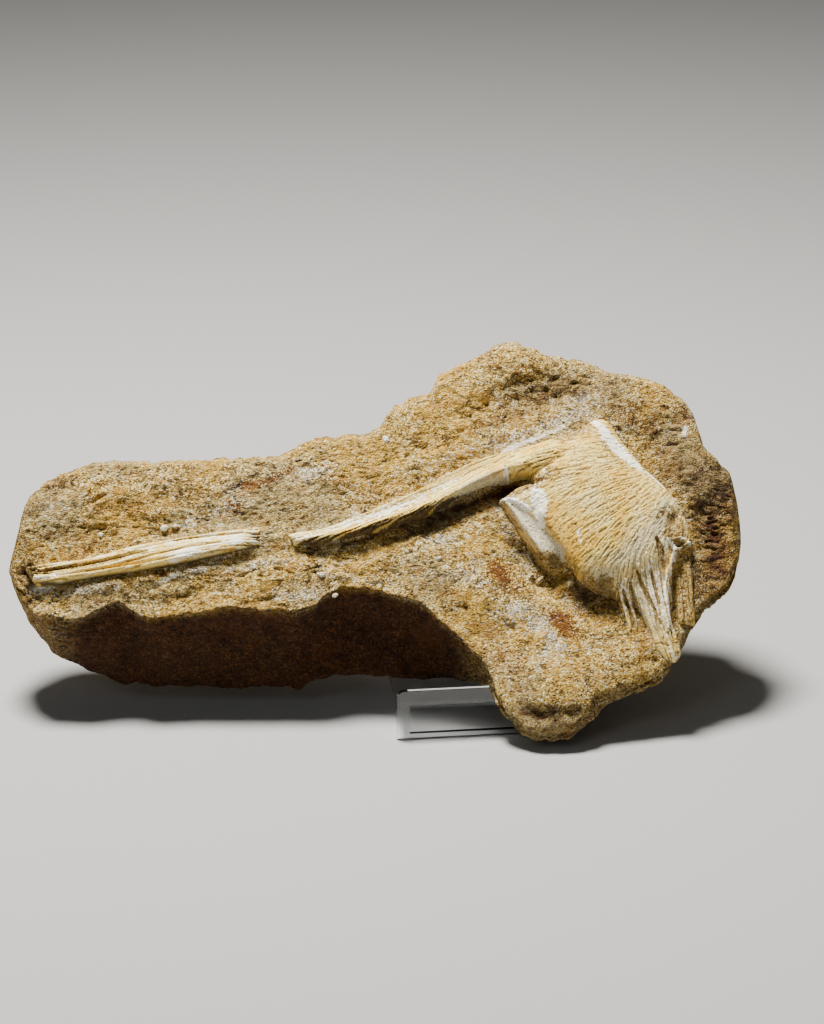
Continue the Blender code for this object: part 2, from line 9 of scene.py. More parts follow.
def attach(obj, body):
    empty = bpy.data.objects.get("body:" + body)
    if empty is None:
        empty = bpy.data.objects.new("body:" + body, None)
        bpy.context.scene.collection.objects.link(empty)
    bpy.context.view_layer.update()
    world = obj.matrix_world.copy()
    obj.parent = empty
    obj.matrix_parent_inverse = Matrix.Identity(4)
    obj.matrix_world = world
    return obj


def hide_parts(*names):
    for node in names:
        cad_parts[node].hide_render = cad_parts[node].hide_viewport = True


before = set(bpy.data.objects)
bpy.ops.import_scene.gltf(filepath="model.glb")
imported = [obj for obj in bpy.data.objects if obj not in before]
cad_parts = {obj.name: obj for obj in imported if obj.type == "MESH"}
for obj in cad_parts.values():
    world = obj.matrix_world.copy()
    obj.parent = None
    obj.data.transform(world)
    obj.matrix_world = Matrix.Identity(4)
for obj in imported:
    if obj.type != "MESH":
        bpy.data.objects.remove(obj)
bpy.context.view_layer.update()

mm = 0.001

# The slab is worked in its own frame, in millimetres: u along it, v up its face, w out of
# the face. It leans back, and its toe hangs just above the floor in front of the stand.
slab = {
    "lean": radians(38.0),
    "toe": (-19.1, -15.2, 5.0),
}


def placeSlab(u, v, w):
    s, c = sin(slab["lean"]), cos(slab["lean"])
    toe = slab["toe"]
    return np.stack([toe[0] + u, toe[1] + v * s - w * c, toe[2] + v * c + w * s], axis=-1) * mm


def refineRows(rows, steps):
    # Catmull-Rom rows between the given ones
    rows = np.array(rows, float)
    before = np.vstack([rows[:1], rows[:-2]])
    after = np.vstack([rows[2:], rows[-1:]])
    start, end = rows[:-1], rows[1:]
    part = np.linspace(0, 1, steps, endpoint=False)[None, :, None]
    a, b, c, d = before[:, None], start[:, None], end[:, None], after[:, None]
    fine = 0.5 * (2 * b + (c - a) * part + (2 * a - 5 * b + 4 * c - d) * part ** 2
                  + (3 * b - a - 3 * c + d) * part ** 3)
    return np.vstack([fine.reshape(-1, rows.shape[1]), rows[-1:]])


def noiseAt(u, v, w, size, shift=0.0):
    # smooth noise, about -1 to 1; size is the width of its lumps along u, v and w
    su, sv, sw = size
    shape = np.shape(u)
    flat = zip(np.ravel(u / su + shift), np.ravel(v / sv), np.ravel(w / sw))
    return np.array([noise.noise(p) for p in flat]).reshape(shape)


def flatNoise(u, v, sizeU, sizeV, shift):
    # noise over the face, the same at every depth
    return noiseAt(u, v, u * 0, (sizeU, sizeV, 1), shift)


def mounds(table, u, v):
    # sum of turned bell shapes: centre u, v, half length, half width, turn, height
    total = np.zeros_like(u)
    for centreU, centreV, length, width, turn, height in table:
        c, s = cos(radians(turn)), sin(radians(turn))
        du, dv = u - centreU, v - centreV
        lengthwise, crosswise = (du * c + dv * s) / length, (dv * c - du * s) / width
        total += height * np.exp(-lengthwise ** 2 - crosswise ** 2)
    return total


def stroke(line, u, v, soft=0.6):
    # 1 on a drawn line (u, v, half width), falling to 0 over the soft edge
    best = np.zeros_like(u)
    for (au, av, aw), (bu, bv, bw) in zip(line, line[1:]):
        length = (bu - au) ** 2 + (bv - av) ** 2
        part = np.clip(((u - au) * (bu - au) + (v - av) * (bv - av)) / length, 0, 1)
        far = np.hypot(u - au - part * (bu - au), v - av - part * (bv - av))
        best = np.maximum(best, np.clip((aw + part * (bw - aw) + soft - far) / soft, 0, 1))
    return best * best * (3 - 2 * best)


def blur(field, radius):
    # Gaussian blur, radius in cells
    reach = int(np.ceil(radius * 2.5))
    weights = np.exp(-0.5 * (np.arange(-reach, reach + 1) / radius) ** 2)
    weights /= weights.sum()
    for axis in (0, 1):
        margin = [(reach, reach) if a == axis else (0, 0) for a in (0, 1)]
        padded = np.pad(field, margin, mode="edge")
        length = field.shape[axis]
        field = sum(k * np.take(padded, range(i, i + length), axis=axis)
                    for i, k in enumerate(weights))
    return field


def readMap(canvas, field, u, v):
    # value of a canvas at any point, with soft steps between its cells and 0 outside
    x = (u - canvas["u"][0, 0]) / canvas["step"]
    y = (v - canvas["v"][0, 0]) / canvas["step"]
    rows, columns = field.shape
    within = (x >= 0) & (y >= 0) & (x < columns - 1) & (y < rows - 1)
    x, y = np.clip(x, 0, columns - 1.001), np.clip(y, 0, rows - 1.001)
    i, j = x.astype(int), y.astype(int)
    fx, fy = x - i, y - j
    value = ((field[j, i] * (1 - fx) + field[j, i + 1] * fx) * (1 - fy)
             + (field[j + 1, i] * (1 - fx) + field[j + 1, i + 1] * fx) * fy)
    return np.where(within, value, 0.0)


def setField(mesh, name, values):
    layer = mesh.attributes.new(name, "FLOAT", "POINT")
    layer.data.foreach_set("value", np.asarray(values, np.float32).ravel())


def addObject(name, data):
    item = bpy.data.objects.new(name, data)
    bpy.context.scene.collection.objects.link(item)
    return item


# The bone with its shaft, body, cup and fan, drawn as a height over the slab's face
boneBody = {
    "canvas": ((-50.0, 24.0), (112.0, 130.0), 0.26),
    "bottom": -9.0,
    "thinEnd": (66.0, 46.0, 5.4),   # the fan's underside rises from this v to that, by so much
    # upper edge, lower edge, height of each edge, height of the crown between them and its
    # lean towards the lower edge
    "spineAndBody": [
        ((-47.6, 80), (-44.6, 75.6), 0.2, 0.2, 1.4, 1),
        ((-44, 80.8), (-42, 75.6), 1, 1, 2.8, 1.3),
        ((-34.5, 82.4), (-34.2, 76.5), 1.2, 0.4, 3.8, 2.4),
        ((-22, 86.8), (-21, 79.1), 2, 0.2, 4.4, 3),
        ((-9.1, 92.3), (-8.6, 82.5), 2.6, 0, 5, 3.4),
        ((2.6, 97.6), (4.5, 87.2), 2.9, 0, 5.3, 3.6),
        ((16.4, 105.3), (19.5, 95.4), 3, 0, 5.9, 3.8),
        ((27.6, 110.4), (31.6, 101), 3.2, 0.2, 6.8, 3.4),
        ((40, 113.6), (43.5, 102.8), 3.2, 2, 9, 2.2),
        ((52, 117), (46.5, 98), 3, 5.5, 11, 1),
        ((63, 121), (49, 90.5), 3.2, 7, 12.6, 1),
        ((73.4, 125.1), (50.6, 83.5), 3.4, 7.5, 13.8, 1),
        ((81.5, 114), (54.6, 76), 4.4, 7.5, 14.6, 1),
        ((89, 104.5), (59.6, 68), 4.6, 7, 14.6, 1),
        ((96.5, 97), (64.6, 61.2), 4.6, 5.6, 13.8, 1),
        ((102, 89), (70.5, 57.4), 4, 4, 12.2, 1),
        ((105.2, 80.4), (75, 56), 2.6, 3.4, 10.2, 1),
        ((106, 73), (78.6, 54), 1, 3, 7.4, 1),
        ((103.6, 67), (80.8, 52.6), 0, 2, 5, 1),
    ],
    "crownShape": 0.62,
    "fanShape": 0.5,
    "fray": {           # how the threads of the shaft's lower edge come apart, with painted shade on its lower facet
        "soft": 2.4,
        "start": 0.6,
        "byFibre": 0.36,
        "over": 0.16,
        "depth": 0.9,
        # share of painted shade on the frayed lower facet, which faces down away from the light
        "shade": 0.86,
        "grit": 0.5,
    },
    "poreDepth": 0.22,
    "waves": (4.5, 4.0, 0.22),      # low waves: size along u and v, height
    "rubbleLumps": [(1.7, 1.5, 63.0, 0.6), (0.9, 0.8, 67.0, 0.35)],     # size, shift, height
    "chalkEdge": (0.95, 0.22, 0.42, 0.30),      # share of noise and of fibre, start, softness
    # frayed lower edge of the shaft, then the loose rubble left between the forms
    "fringe": [(-42, 75.4, 0.3), (-34.2, 76.3, 0.8), (-21, 78.9, 1.2), (-8.6, 82.3, 1.5),
               (4.5, 87.2, 1.4), (14, 91.6, 0.6), (22, 95.2, 0.1)],
    "rubble": [
        (45, 98, 7, 3.4, 26, 1), (98, 78, 5, 4, 20, 0.6), (73, 58, 5, 3.4, -40, 0.9),
        (58, 66.4, 5, 3.4, -30, 0.9), (60, 119.6, 7, 2.4, 14, 0.7), (47.6, 91, 3, 6, 0, 0.6),
        (38.4, 91.6, 6, 2.2, -24, 0.8), (103.6, 70, 4, 4, 10, 0.7),
    ],
    "fan": [
        ((102.6, 74), (79.4, 59.4), 4.6, 4, 8.6, 1),
        ((99.8, 66), (81.6, 55), 3.8, 3.2, 7.2, 1),
        ((97.8, 60), (84, 52), 3.4, 2.8, 6.2, 1),
        ((97.2, 53), (86.2, 48.2), 2.8, 2.4, 5.4, 1),
        ((97.5, 46), (88, 43.8), 2.2, 2, 4.6, 1),
        ((99.4, 40.4), (88.9, 41), 1.6, 1.4, 3.6, 1),
        ((100.6, 36.2), (90.4, 36.6), 1.2, 1, 3, 1),
        ((100.8, 33.2), (92.2, 33.2), 0.8, 0.6, 2.4, 1),
        ((98.8, 30.4), (95.2, 30.4), 0, 0, 1.2, 1),
    ],
    # across the cup: sand edge, rim, far side of the trough, foot of the body, each u, v, w
    "cup": [
        ((33, 93.8, -0.5), (34.2, 93.2, 5.2), (35.5, 93.8, 5.5), (40, 97.6, 4.6)),
        ((33.6, 91, -0.6), (35.6, 91, 5.4), (37.6, 92.3, 5.8), (45.5, 98.6, 6.4)),
        ((34.8, 88.6, -1), (37.4, 89, 5.2), (40.3, 90.4, 5.6), (50, 95.6, 9)),
        ((36.8, 85.3, -1.8), (39.6, 86, 5), (43.6, 87.8, 5), (51.2, 90.6, 10)),
        ((38.7, 81.7, -2.5), (41.6, 82.9, 4.8), (46.2, 84.8, 4.5), (51, 86, 10)),
        ((41.3, 77.3, -3.4), (44.4, 78.9, 4.5), (49, 81.2, 3.8), (51.8, 82.2, 8)),
        ((44.6, 73.4, -4.2), (47.4, 74.6, 4.1), (52.4, 77, 3.2), (55.4, 77.6, 6)),
        ((47.6, 69.8, -4.6), (50.2, 70.2, 2.6), (56.2, 72.8, 1.8), (59.6, 73.2, 4.2)),
        ((50, 67.8, -5.6), (52.4, 67.8, -1.6), (58.8, 70.2, -1.2), (61.8, 70.2, 1.6)),
        ((52.6, 66, -7.4), (54.4, 65.6, -5.6), (61, 67.2, -5.4), (64.6, 67, -2.4)),
    ],
    # strands of the fan: u, v, w, half width, half height
    "strands": [
        [(80.6, 60, 1.4, 3.6, 2.4), (81.2, 53, 0.4, 3.4, 1.6), (82.2, 47, -0.2, 3, 1.2),
         (83.2, 42.4, -0.8, 2.2, 0.9)],
        [(101.2, 70, 0.4, 4.8, 3.6), (101.4, 62, 0.4, 4.8, 3.4), (101.8, 55, 0.2, 4.5, 3),
         (102.4, 49, -0.2, 4.1, 2.6), (102.8, 44.6, -0.6, 3.6, 2.2)],
    ],
    # small forms: centre u, v, half length, half width, turn, height
    "forms": [
        (75, 57, 3.4, 2.2, -40, -3.4), (100.6, 74, 1.6, 1.2, 15, -1.6), (97, 82, 5, 3, 60, -1.2),
        (103, 71, 3, 3, 15, -1.6), (52, 105, 9, 1.6, 28, -1.1), (48, 109, 8, 1.4, 24, 0.7),
        (70, 100, 14, 9, -45, 0.7), (77, 113.5, 11, 2.2, -54, -0.9), (57.4, 83.3, 1.4, 1, 20, -0.6),
        (66, 120, 4, 1.4, -50, -0.7), (60, 120.4, 8, 1.4, 14, -0.9), (72, 58, 5, 3, -50, -1.8),
        (66.4, 60.6, 2.2, 1.4, -40, -1), (99.6, 84, 3, 1.6, 70, -0.9), (95, 86, 4, 1.2, 60, -0.7),
        (102, 88, 2.6, 1.2, 60, -0.6),
    ],
    # raised threads and cut grooves: height, soft edge, then the line (u, v, half width)
    "threads": [
        (1.5, 0.7, [(96.5, 75, 0.3), (98.7, 72.2, 0.5), (99.1, 71, 0.7), (97.8, 66.1, 0.7),
                    (96.1, 62.2, 0.6), (95.6, 56.3, 0.5), (95.8, 48.5, 0.4), (96.6, 42.7, 0.2)]),
        (1.5, 0.6, [(104.9, 75.4, 0.3), (101.8, 73, 0.45), (99.1, 71, 0.7)]),
        (1, 0.5, [(96.5, 75, 0.2), (98.9, 75.6, 0.25), (101.4, 76.4, 0.3), (103, 76, 0.2)]),
        (0.8, 0.4, [(77.8, 57.4, 0.2), (79.3, 53.3, 0.3), (81, 48.6, 0.3), (82, 42.9, 0.2)]),
        (0.8, 0.4, [(80.1, 59.9, 0.2), (81.9, 54.8, 0.3), (83.3, 48.6, 0.3), (84.7, 42.7, 0.2)]),
        (0.7, 0.4, [(82.8, 59.2, 0.2), (84.6, 53.3, 0.3), (85.6, 49.6, 0.1)]),
        (0.9, 0.5, [(88, 69, 0.2), (90.4, 62, 0.3), (93.4, 51, 0.3), (95.6, 41, 0.2)]),
        (0.8, 0.5, [(85, 65, 0.2), (87.4, 58, 0.3), (90.4, 49, 0.3), (93.6, 39, 0.2)]),
        (-0.8, 0.4, [(79.4, 56.8, 0.1), (81, 52, 0.3), (82.4, 47.6, 0.3), (83.4, 43, 0.3)]),
        (-0.8, 0.4, [(81.8, 59, 0.1), (83.4, 54, 0.3), (85, 48, 0.5), (86, 43, 0.5)]),
        (-1, 0.5, [(92, 75, 0.3), (93.6, 70, 1), (94.7, 65.5, 0.4), (94.4, 58, 0.1)]),
        (-0.9, 0.4, [(83.9, 64.1, 0.2), (86, 59, 0.4), (88.1, 53.9, 0.5), (91, 48.8, 0.3),
                     (93, 43.6, 0.1)]),
        (-0.8, 0.4, [(89.6, 63, 0.2), (91.2, 56.6, 0.4), (92.6, 51, 0.2)]),
        (-1.2, 0.5, [(98.6, 64, 0.5), (98.6, 57, 0.5), (99.2, 49.4, 0.5), (100.4, 42.4, 0.4)]),
        (0.7, 0.4, [(100.4, 64, 0.2), (101, 55, 0.3), (101.6, 46, 0.2)]),
        (0.7, 0.4, [(103, 65, 0.2), (103.4, 56, 0.3), (104.6, 46, 0.2)]),
        (-0.8, 0.4, [(35.4, 105, 0.2), (35.7, 103, 0.3), (36.2, 99.4, 0.25)]),
        (0.4, 0.6, [(34.4, 92.9, 0.3), (39.7, 91.2, 0.5), (44.4, 87.8, 0.4), (48.6, 82, 0.2)]),
        (-0.5, 0.4, [(61.4, 80.4, 0.2), (62.4, 77.4, 0.3), (63.2, 74.4, 0.2)]),
        (-0.6, 0.3, [(90.5, 36.4, 0.1), (93.5, 36.6, 0.15), (96, 35.6, 0.1)]),
    ],
    # lie of the fibres: u, v, degrees from u, ridge height, length of the fibres (0 short, 1 long)
    "grain": [
        (-44, 78, 10, 0.1, 1), (-28, 82, 14, 0.09, 1), (-10, 88, 19, 0.08, 1),
        (-36, 76.8, 17, 0.22, 1), (-26, 78.4, 21, 0.26, 1), (-16, 80.6, 25, 0.28, 1),
        (-6, 83.8, 29, 0.28, 1), (4, 87.6, 33, 0.24, 1), (12, 91.4, 33, 0.18, 0.9),
        (6, 95, 24, 0.09, 0.8), (20, 100, 28, 0.1, 0.7), (32, 106, 22, 0.13, 0.5),
        (42, 108, 12, 0.24, 0.3), (50, 111, 8, 0.28, 0.2), (52, 104, 18, 0.22, 0.1),
        (60, 115, 4, 0.2, 0.1), (70, 118, 2, 0.14, 0), (60, 104, 8, 0.13, 0),
        (72, 106, 12, 0.13, 0), (82, 106, 25, 0.13, 0), (66, 94, 22, 0.12, 0),
        (78, 94, 27, 0.16, 0.05), (90, 96, 36, 0.16, 0.1), (58, 84, 34, 0.09, 0),
        (70, 82, 32, 0.15, 0), (84, 84, 38, 0.17, 0.1), (97, 90, 58, 0.14, 0.2),
        (64, 72, 38, 0.09, 0), (76, 70, 44, 0.15, 0.1), (88, 74, 62, 0.17, 0.3),
        (101, 82, 76, 0.15, 0.4), (80, 62, 78, 0.15, 0.6), (90, 64, 102, 0.21, 1),
        (82, 50, 107, 0.22, 1), (92, 52, 107, 0.24, 1), (98, 60, 96, 0.24, 1),
        (96, 38, 106, 0.24, 1), (103, 54, 88, 0.28, 1), (98, 31, 112, 0.22, 0.8),
        (37, 89, -60, 0.03, 0.4), (46, 80, -52, 0.02, 0.4), (56, 70, -45, 0.05, 0.3),
        (44, 97, 20, 0.14, 0.2),
    ],
}

boneTip = {
    "canvas": ((-150.0, 56.0), (-54.0, 88.0), 0.30),
    "bottom": -4.6,
    "thinEnd": (1.0, 0.0, 0.0),     # stays level
    "spine": [
        ((-146, 67.2), (-142, 61.2), 0.4, 0.4, 1.2, 1.3),
        ((-134, 69), (-132, 60.4), 0.8, 0.5, 2.4, 1.7),
        ((-122, 70.8), (-120, 62.6), 1, 0.4, 3, 1.9),
        ((-105.1, 75.6), (-105, 64.6), 1.2, 0.4, 3.7, 2),
        ((-85.1, 79.2), (-84.6, 68.6), 1.2, 0.3, 4, 2),
        ((-66, 82.2), (-66, 73), 1, 0.3, 3.4, 1.9),
        ((-57, 83.2), (-57.6, 75), 0.2, 0, 1.4, 1.3),
    ],
    "crownShape": 0.5,
    "splinters": {"left": (-133.0, 12.0), "right": (-64.0, 8.0), "depth": 1.3},     # from u, over
    "chalkEdge": (0.7, 0.25, 0.36, 0.35),
    # painted shadow line along the tip's lower edge: u, v, half width
    "under": [(-140, 60.8, 0.1), (-132, 60.4, 0.1), (-120, 62.6, 0.1), (-105, 64.6, 0.1),
              (-84.6, 68.6, 0.1), (-66, 73, 0.2), (-58, 75, 0.2)],
    # ridges and clefts of the splintered length
    "threads": [
        (-1.1, 0.5, [(-141, 65, 0.2), (-128, 66.6, 0.4), (-112, 70.2, 0.3), (-100, 73, 0.1)]),
        (-0.9, 0.5, [(-134, 63.4, 0.1), (-121, 65.2, 0.3), (-104, 67.6, 0.3), (-92, 70, 0.1)]),
        (-0.7, 0.4, [(-112, 67, 0.1), (-98, 71, 0.3), (-84, 74, 0.2), (-72, 76, 0.1)]),
        (-0.6, 0.4, [(-90, 77, 0.1), (-78, 79, 0.2), (-64, 80.4, 0.1)]),
        (0.6, 0.7, [(-138, 66.8, 0.3), (-120, 69.4, 0.5), (-104, 73.8, 0.4)]),
        (0.7, 0.7, [(-136, 61.8, 0.3), (-118, 64.2, 0.5), (-100, 67, 0.4), (-86, 70.2, 0.3)]),
    ],
    "grain": [
        (-142, 64, 7, 0.34, 1), (-125, 66, 9, 0.32, 1), (-108, 70, 13, 0.28, 1),
        (-90, 73.5, 12, 0.2, 1), (-72, 77, 9, 0.16, 1), (-60, 79, 6, 0.14, 1),
    ],
    "paint": {
        "chalk": [
            (-87, 71.2, 6, 2, 12, 0.8), (-72, 79, 14, 2.2, 8, 0.5),
            (-98, 74.6, 9, 1.6, 14, 0.5), (-64, 77, 7, 2.6, 8, 0.42),
            (-118, 71, 12, 1, 12, 0.45), (-112, 68.4, 10, 1.2, 12, 0.4),
            (-138, 62.4, 5, 1.6, 12, 0.6), (-76, 74.4, 12, 1.8, 10, 0.55),
            (-128, 64.2, 8, 1, 8, 0.4), (-134, 67.8, 8, 0.9, 8, 0.35),
        ],
        "grit": [
            (-126, 67.2, 13, 0.9, 8, 0.8), (-110, 70.4, 7, 0.8, 14, 0.55),
            (-58, 79, 2.4, 4, 0, 0.6), (-145, 66, 3, 3, 0, 0.9),
            (-139, 65.2, 5, 1.2, 8, 0.8),
        ],
        "grey": [(-82.0, 70.6, 7.0, 1.6, 10.0, 0.35)],
        "amber": [
            (-124, 63.4, 12, 1.6, 8, 0.45), (-96, 70.4, 12, 1, 12, 0.35),
            (-90, 69.6, 5, 0.8, 10, 0.35), (-104, 66.4, 8, 1, 10, 0.35),
        ],
    },
}


# How the fibres are drawn on both lengths of bone
fibreForm = {
    "wander": (6.0, 5.0, 0.24),         # size of the bends along u and v, radians
    "uneven": (4.0, 3.2, 0.8, 0.9),     # size of the changes, steady and changing height
    "short": (6, 0.62),                 # reach and width in cells
    "long": (40, 0.6),
    "broadest": 2.7,                    # broader marks are taken out, cells
    "edge": (2.0, 3.0),                 # starts so far above the bottom, over this height
    "join": 1.1,                        # softens where two forms meet, cells
}


def makeCanvas(low, high, step):
    u, v = np.meshgrid(np.arange(low[0], high[0], step), np.arange(low[1], high[1], step))
    return {"u": u, "v": v, "step": step}


def gather(canvas, u, v, value):
    # mean of the points that fall in each cell of the canvas, nan where none does
    rows, columns = canvas["u"].shape
    i = np.rint((u - canvas["u"][0, 0]) / canvas["step"]).astype(int).ravel()
    j = np.rint((v - canvas["v"][0, 0]) / canvas["step"]).astype(int).ravel()
    value = np.ravel(value)
    ok = (i >= 0) & (j >= 0) & (i < columns) & (j < rows)
    cell = j[ok] * columns + i[ok]
    total = np.bincount(cell, value[ok], rows * columns)
    count = np.bincount(cell, minlength=rows * columns)
    return np.where(count > 0, total / np.maximum(count, 1), np.nan).reshape(rows, columns)


def stripForm(canvas, stations, crownShape):
    # rounded form between two edges, drawn on the canvas
    rows = [list(a) + list(b) + rest for a, b, *rest in stations]
    fine = refineRows(rows, 70)
    across = np.linspace(0, 1, 300)
    au, av, bu, bv, riseA, riseB, crown, lean = [c[:, None] for c in fine.T]
    level = riseA + (riseB - riseA) * across
    height = level + (crown - level) * np.sin(pi * across ** lean) ** crownShape
    return gather(canvas, au + (bu - au) * across, av + (bv - av) * across, height)


def cupForm(canvas, stations):
    # shallow channel: a slope up out of the sand, a rim, a trough and the foot of the body
    rows = [sum((list(corner) for corner in row), []) for row in stations]
    fine = refineRows(rows, 70).reshape(-1, 4, 3)
    sand, rim, far, foot = fine[:, 0], fine[:, 1], fine[:, 2], fine[:, 3]
    bulge = 0.35 * sand + 0.65 * rim
    bulge[:, 2] += 0.7
    dip = 0.5 * (rim + far)
    dip[:, 2] -= 0.7
    stops = np.stack([sand, bulge, rim, dip, far, foot], axis=1)
    part = np.linspace(0, 1, 60, endpoint=False)
    points = [stops[:, i, None] * (1 - part[:, None]) + stops[:, i + 1, None] * part[:, None]
              for i in range(5)]
    points = np.concatenate(points, axis=1)
    return gather(canvas, points[..., 0], points[..., 1], points[..., 2])


def strandForm(canvas, points):
    fine = refineRows(points, 60)
    way = np.gradient(fine[:, :2], axis=0)
    way /= np.linalg.norm(way, axis=1)[:, None]
    side = np.linspace(-1, 1, 60)
    u, v, w, halfWidth, halfHeight = [c[:, None] for c in fine.T]
    height = w + halfHeight * np.sqrt(np.clip(1 - side ** 2, 0, 1))
    out = side * halfWidth
    return gather(canvas, u - way[:, 1:2] * out, v + way[:, 0:1] * out, height)


def spreadGrain(canvas, grain):
    # smooth field through the given points: direction, ridge height, fibre length
    total, cosine, sine, ridge, length = (np.zeros_like(canvas["u"]) for _ in range(5))
    for gu, gv, degrees, height, share in grain:
        weight = 1.0 / ((canvas["u"] - gu) ** 2 + (canvas["v"] - gv) ** 2 + 4.0) ** 1.5
        total += weight
        cosine += weight * cos(2 * radians(degrees))
        sine += weight * sin(2 * radians(degrees))
        ridge += weight * height
        length += weight * share
    return 0.5 * np.arctan2(sine, cosine), ridge / total, length / total


def drawFibres(angle, reach, coarse, seed):
    # noise smeared along the lie of the fibres, scaled to a spread of 1
    grit = blur(np.random.default_rng(seed).standard_normal(angle.shape), coarse)
    rows, columns = angle.shape
    row, column = np.mgrid[0:rows, 0:columns].astype(float)
    total = grit.copy()
    for sign in (1, -1):
        y, x = row.copy(), column.copy()
        dx, dy = np.cos(angle) * sign, np.sin(angle) * sign
        for _ in range(reach):
            i = np.clip(np.rint(x).astype(int), 0, columns - 1)
            j = np.clip(np.rint(y).astype(int), 0, rows - 1)
            ax, ay = np.cos(angle[j, i]), np.sin(angle[j, i])
            flip = np.where(ax * dx + ay * dy < 0, -1.0, 1.0)
            dx, dy = ax * flip, ay * flip
            x += dx
            y += dy
            total += grit[np.clip(np.rint(y).astype(int), 0, rows - 1),
                          np.clip(np.rint(x).astype(int), 0, columns - 1)]
    total -= blur(total, fibreForm["broadest"])
    return total / total.std()


def underside(spec, v):
    # how deep the bone reaches into the slab
    start, end, rise = spec["thinEnd"]
    return spec["bottom"] + rise * np.clip((start - v) / (start - end), 0, 1)


def boneMesh(name, canvas, height, spec, fields):
    # skin of the canvas where the bone is, walled and closed underneath
    keep = height > underside(spec, canvas["v"]) + 0.4
    index = -np.ones(keep.shape, int)
    index[keep] = np.arange(keep.sum())
    corners = (index[:-1, :-1], index[:-1, 1:], index[1:, 1:], index[1:, :-1])
    whole = np.all([c >= 0 for c in corners], axis=0)
    faces = np.stack([c[whole] for c in corners], axis=-1)
    used = np.unique(faces)
    renumber = -np.ones(keep.sum(), int)
    renumber[used] = np.arange(len(used))
    points = placeSlab(canvas["u"][keep][used], canvas["v"][keep][used], height[keep][used])
    mesh = bpy.data.meshes.new(name)
    mesh.from_pydata(points.tolist(), [], renumber[faces].tolist())
    for field, values in fields.items():
        setField(mesh, field, values[keep][used])
    shape = bmesh.new()
    shape.from_mesh(mesh)
    rim = [edge for edge in shape.edges if edge.is_boundary]
    grown = bmesh.ops.extrude_edge_only(shape, edges=rim)["geom"]
    shade, grit = shape.verts.layers.float["shade"], shape.verts.layers.float["grit"]
    s, c = sin(slab["lean"]), cos(slab["lean"])
    toe = Vector(slab["toe"]) * mm
    for vertex in [g for g in grown if isinstance(g, bmesh.types.BMVert)]:
        depth = (vertex.co.z - toe.z) * s - (vertex.co.y - toe.y) * c
        upFace = (vertex.co.z - toe.z) * c + (vertex.co.y - toe.y) * s
        drop = underside(spec, upFace / mm) * mm - depth
        vertex.co += Vector((0, -c * drop, s * drop))
        vertex[shade] = vertex[grit] = 1.0      # the buried wall gets painted shade, and is sandy
    rim = [edge for edge in shape.edges if edge.is_boundary]
    bmesh.ops.holes_fill(shape, edges=rim)
    bmesh.ops.recalc_face_normals(shape, faces=shape.faces)
    shape.to_mesh(mesh)
    shape.free()
    mesh.shade_smooth()
    return addObject(name, mesh)


def finishBone(canvas, parts, spec, seed):
    # joins the forms of a bone, then draws its fibres, threads and clefts
    form, u, v = fibreForm, canvas["u"], canvas["v"]
    base = np.full(u.shape, spec["bottom"])
    for part in parts:
        base = np.fmax(base, part)
    base = blur(base, form["join"])
    angle, ridge, length = spreadGrain(canvas, spec["grain"])
    sizeU, sizeV, bend = form["wander"]
    angle = angle + bend * flatNoise(u, v, sizeU, sizeV, 51.0)
    sizeU, sizeV, steady, changing = form["uneven"]
    ridge = ridge * np.clip(steady + changing * flatNoise(u, v, sizeU, sizeV, 57.0), 0.3, 1.5)
    short = drawFibres(angle, *form["short"], seed)
    long = drawFibres(angle, *form["long"], seed + 1)
    fibre = np.tanh(short * (1 - length) + long * length)
    start, over = form["edge"]
    inside = np.clip((base - spec["bottom"] - start) / over, 0, 1)
    height = base + ridge * fibre * (1.1 - 0.1 * length) * inside
    for rise, soft, line in spec["threads"]:
        height += rise * stroke(line, u, v, soft) * inside
    return base, height, fibre, inside


def makeVertebra():
    spec = boneBody
    canvas = makeCanvas(*spec["canvas"])
    u, v = canvas["u"], canvas["v"]
    body = stripForm(canvas, spec["spineAndBody"], spec["crownShape"])
    fan = stripForm(canvas, spec["fan"], spec["fanShape"])
    cup = cupForm(canvas, spec["cup"])
    strands = [strandForm(canvas, points) for points in spec["strands"]]
    base, height, fibre, inside = finishBone(canvas, [body, fan, cup, *strands], spec, 11)
    height += mounds(spec["forms"], u, v) * inside

    # the threads of the shaft's lower edge come apart in the sand, and its lower facet gets painted
    # shade
    fray = spec["fray"]
    fringe = stroke(spec["fringe"], u, v, fray["soft"])
    frayedAndShaded = np.clip((fringe - fray["start"] - fray["byFibre"] * fibre) / fray["over"], 0, 1)
    height -= fray["depth"] * frayedAndShaded * np.clip(0.3 - fibre, 0, 1) * inside

    # rubble, pores and low waves
    rubble = np.clip(mounds(spec["rubble"], u, v), 0, 1)
    height += sum(rise * flatNoise(u, v, sizeU, sizeV, shift)
                  for sizeU, sizeV, shift, rise in spec["rubbleLumps"]) * rubble * inside
    pores = flatNoise(u, v, 0.9, 0.9, 31.0)
    height += (0.05 * pores - spec["poreDepth"] * np.clip(pores - 0.45, 0, 1)) * inside
    sizeU, sizeV, rise = spec["waves"]
    height += rise * flatNoise(u, v, sizeU, sizeV, 7.0) * inside

    bodyShare = blur(np.where(np.isnan(body) & np.isnan(fan), 0.0, 1.0), 1.2)
    cupOnly = np.clip(blur(np.where(np.isnan(cup), 0.0, 1.0), 1.0) - bodyShare, 0, 1)
    fields = boneFields(u, v, fibre, cupOnly)
    # painted shade on the shaft's lower facet, where it faces down
    fields["shade"] = fray["shade"] * frayedAndShaded
    fields["grit"] = np.maximum(fields["grit"], fray["grit"] * frayedAndShaded)
    item = boneMesh("vertebra_bone", canvas, height, spec, fields)
    print("vertebra_bone:", len(item.data.polygons), "faces")
    return item, canvas, base


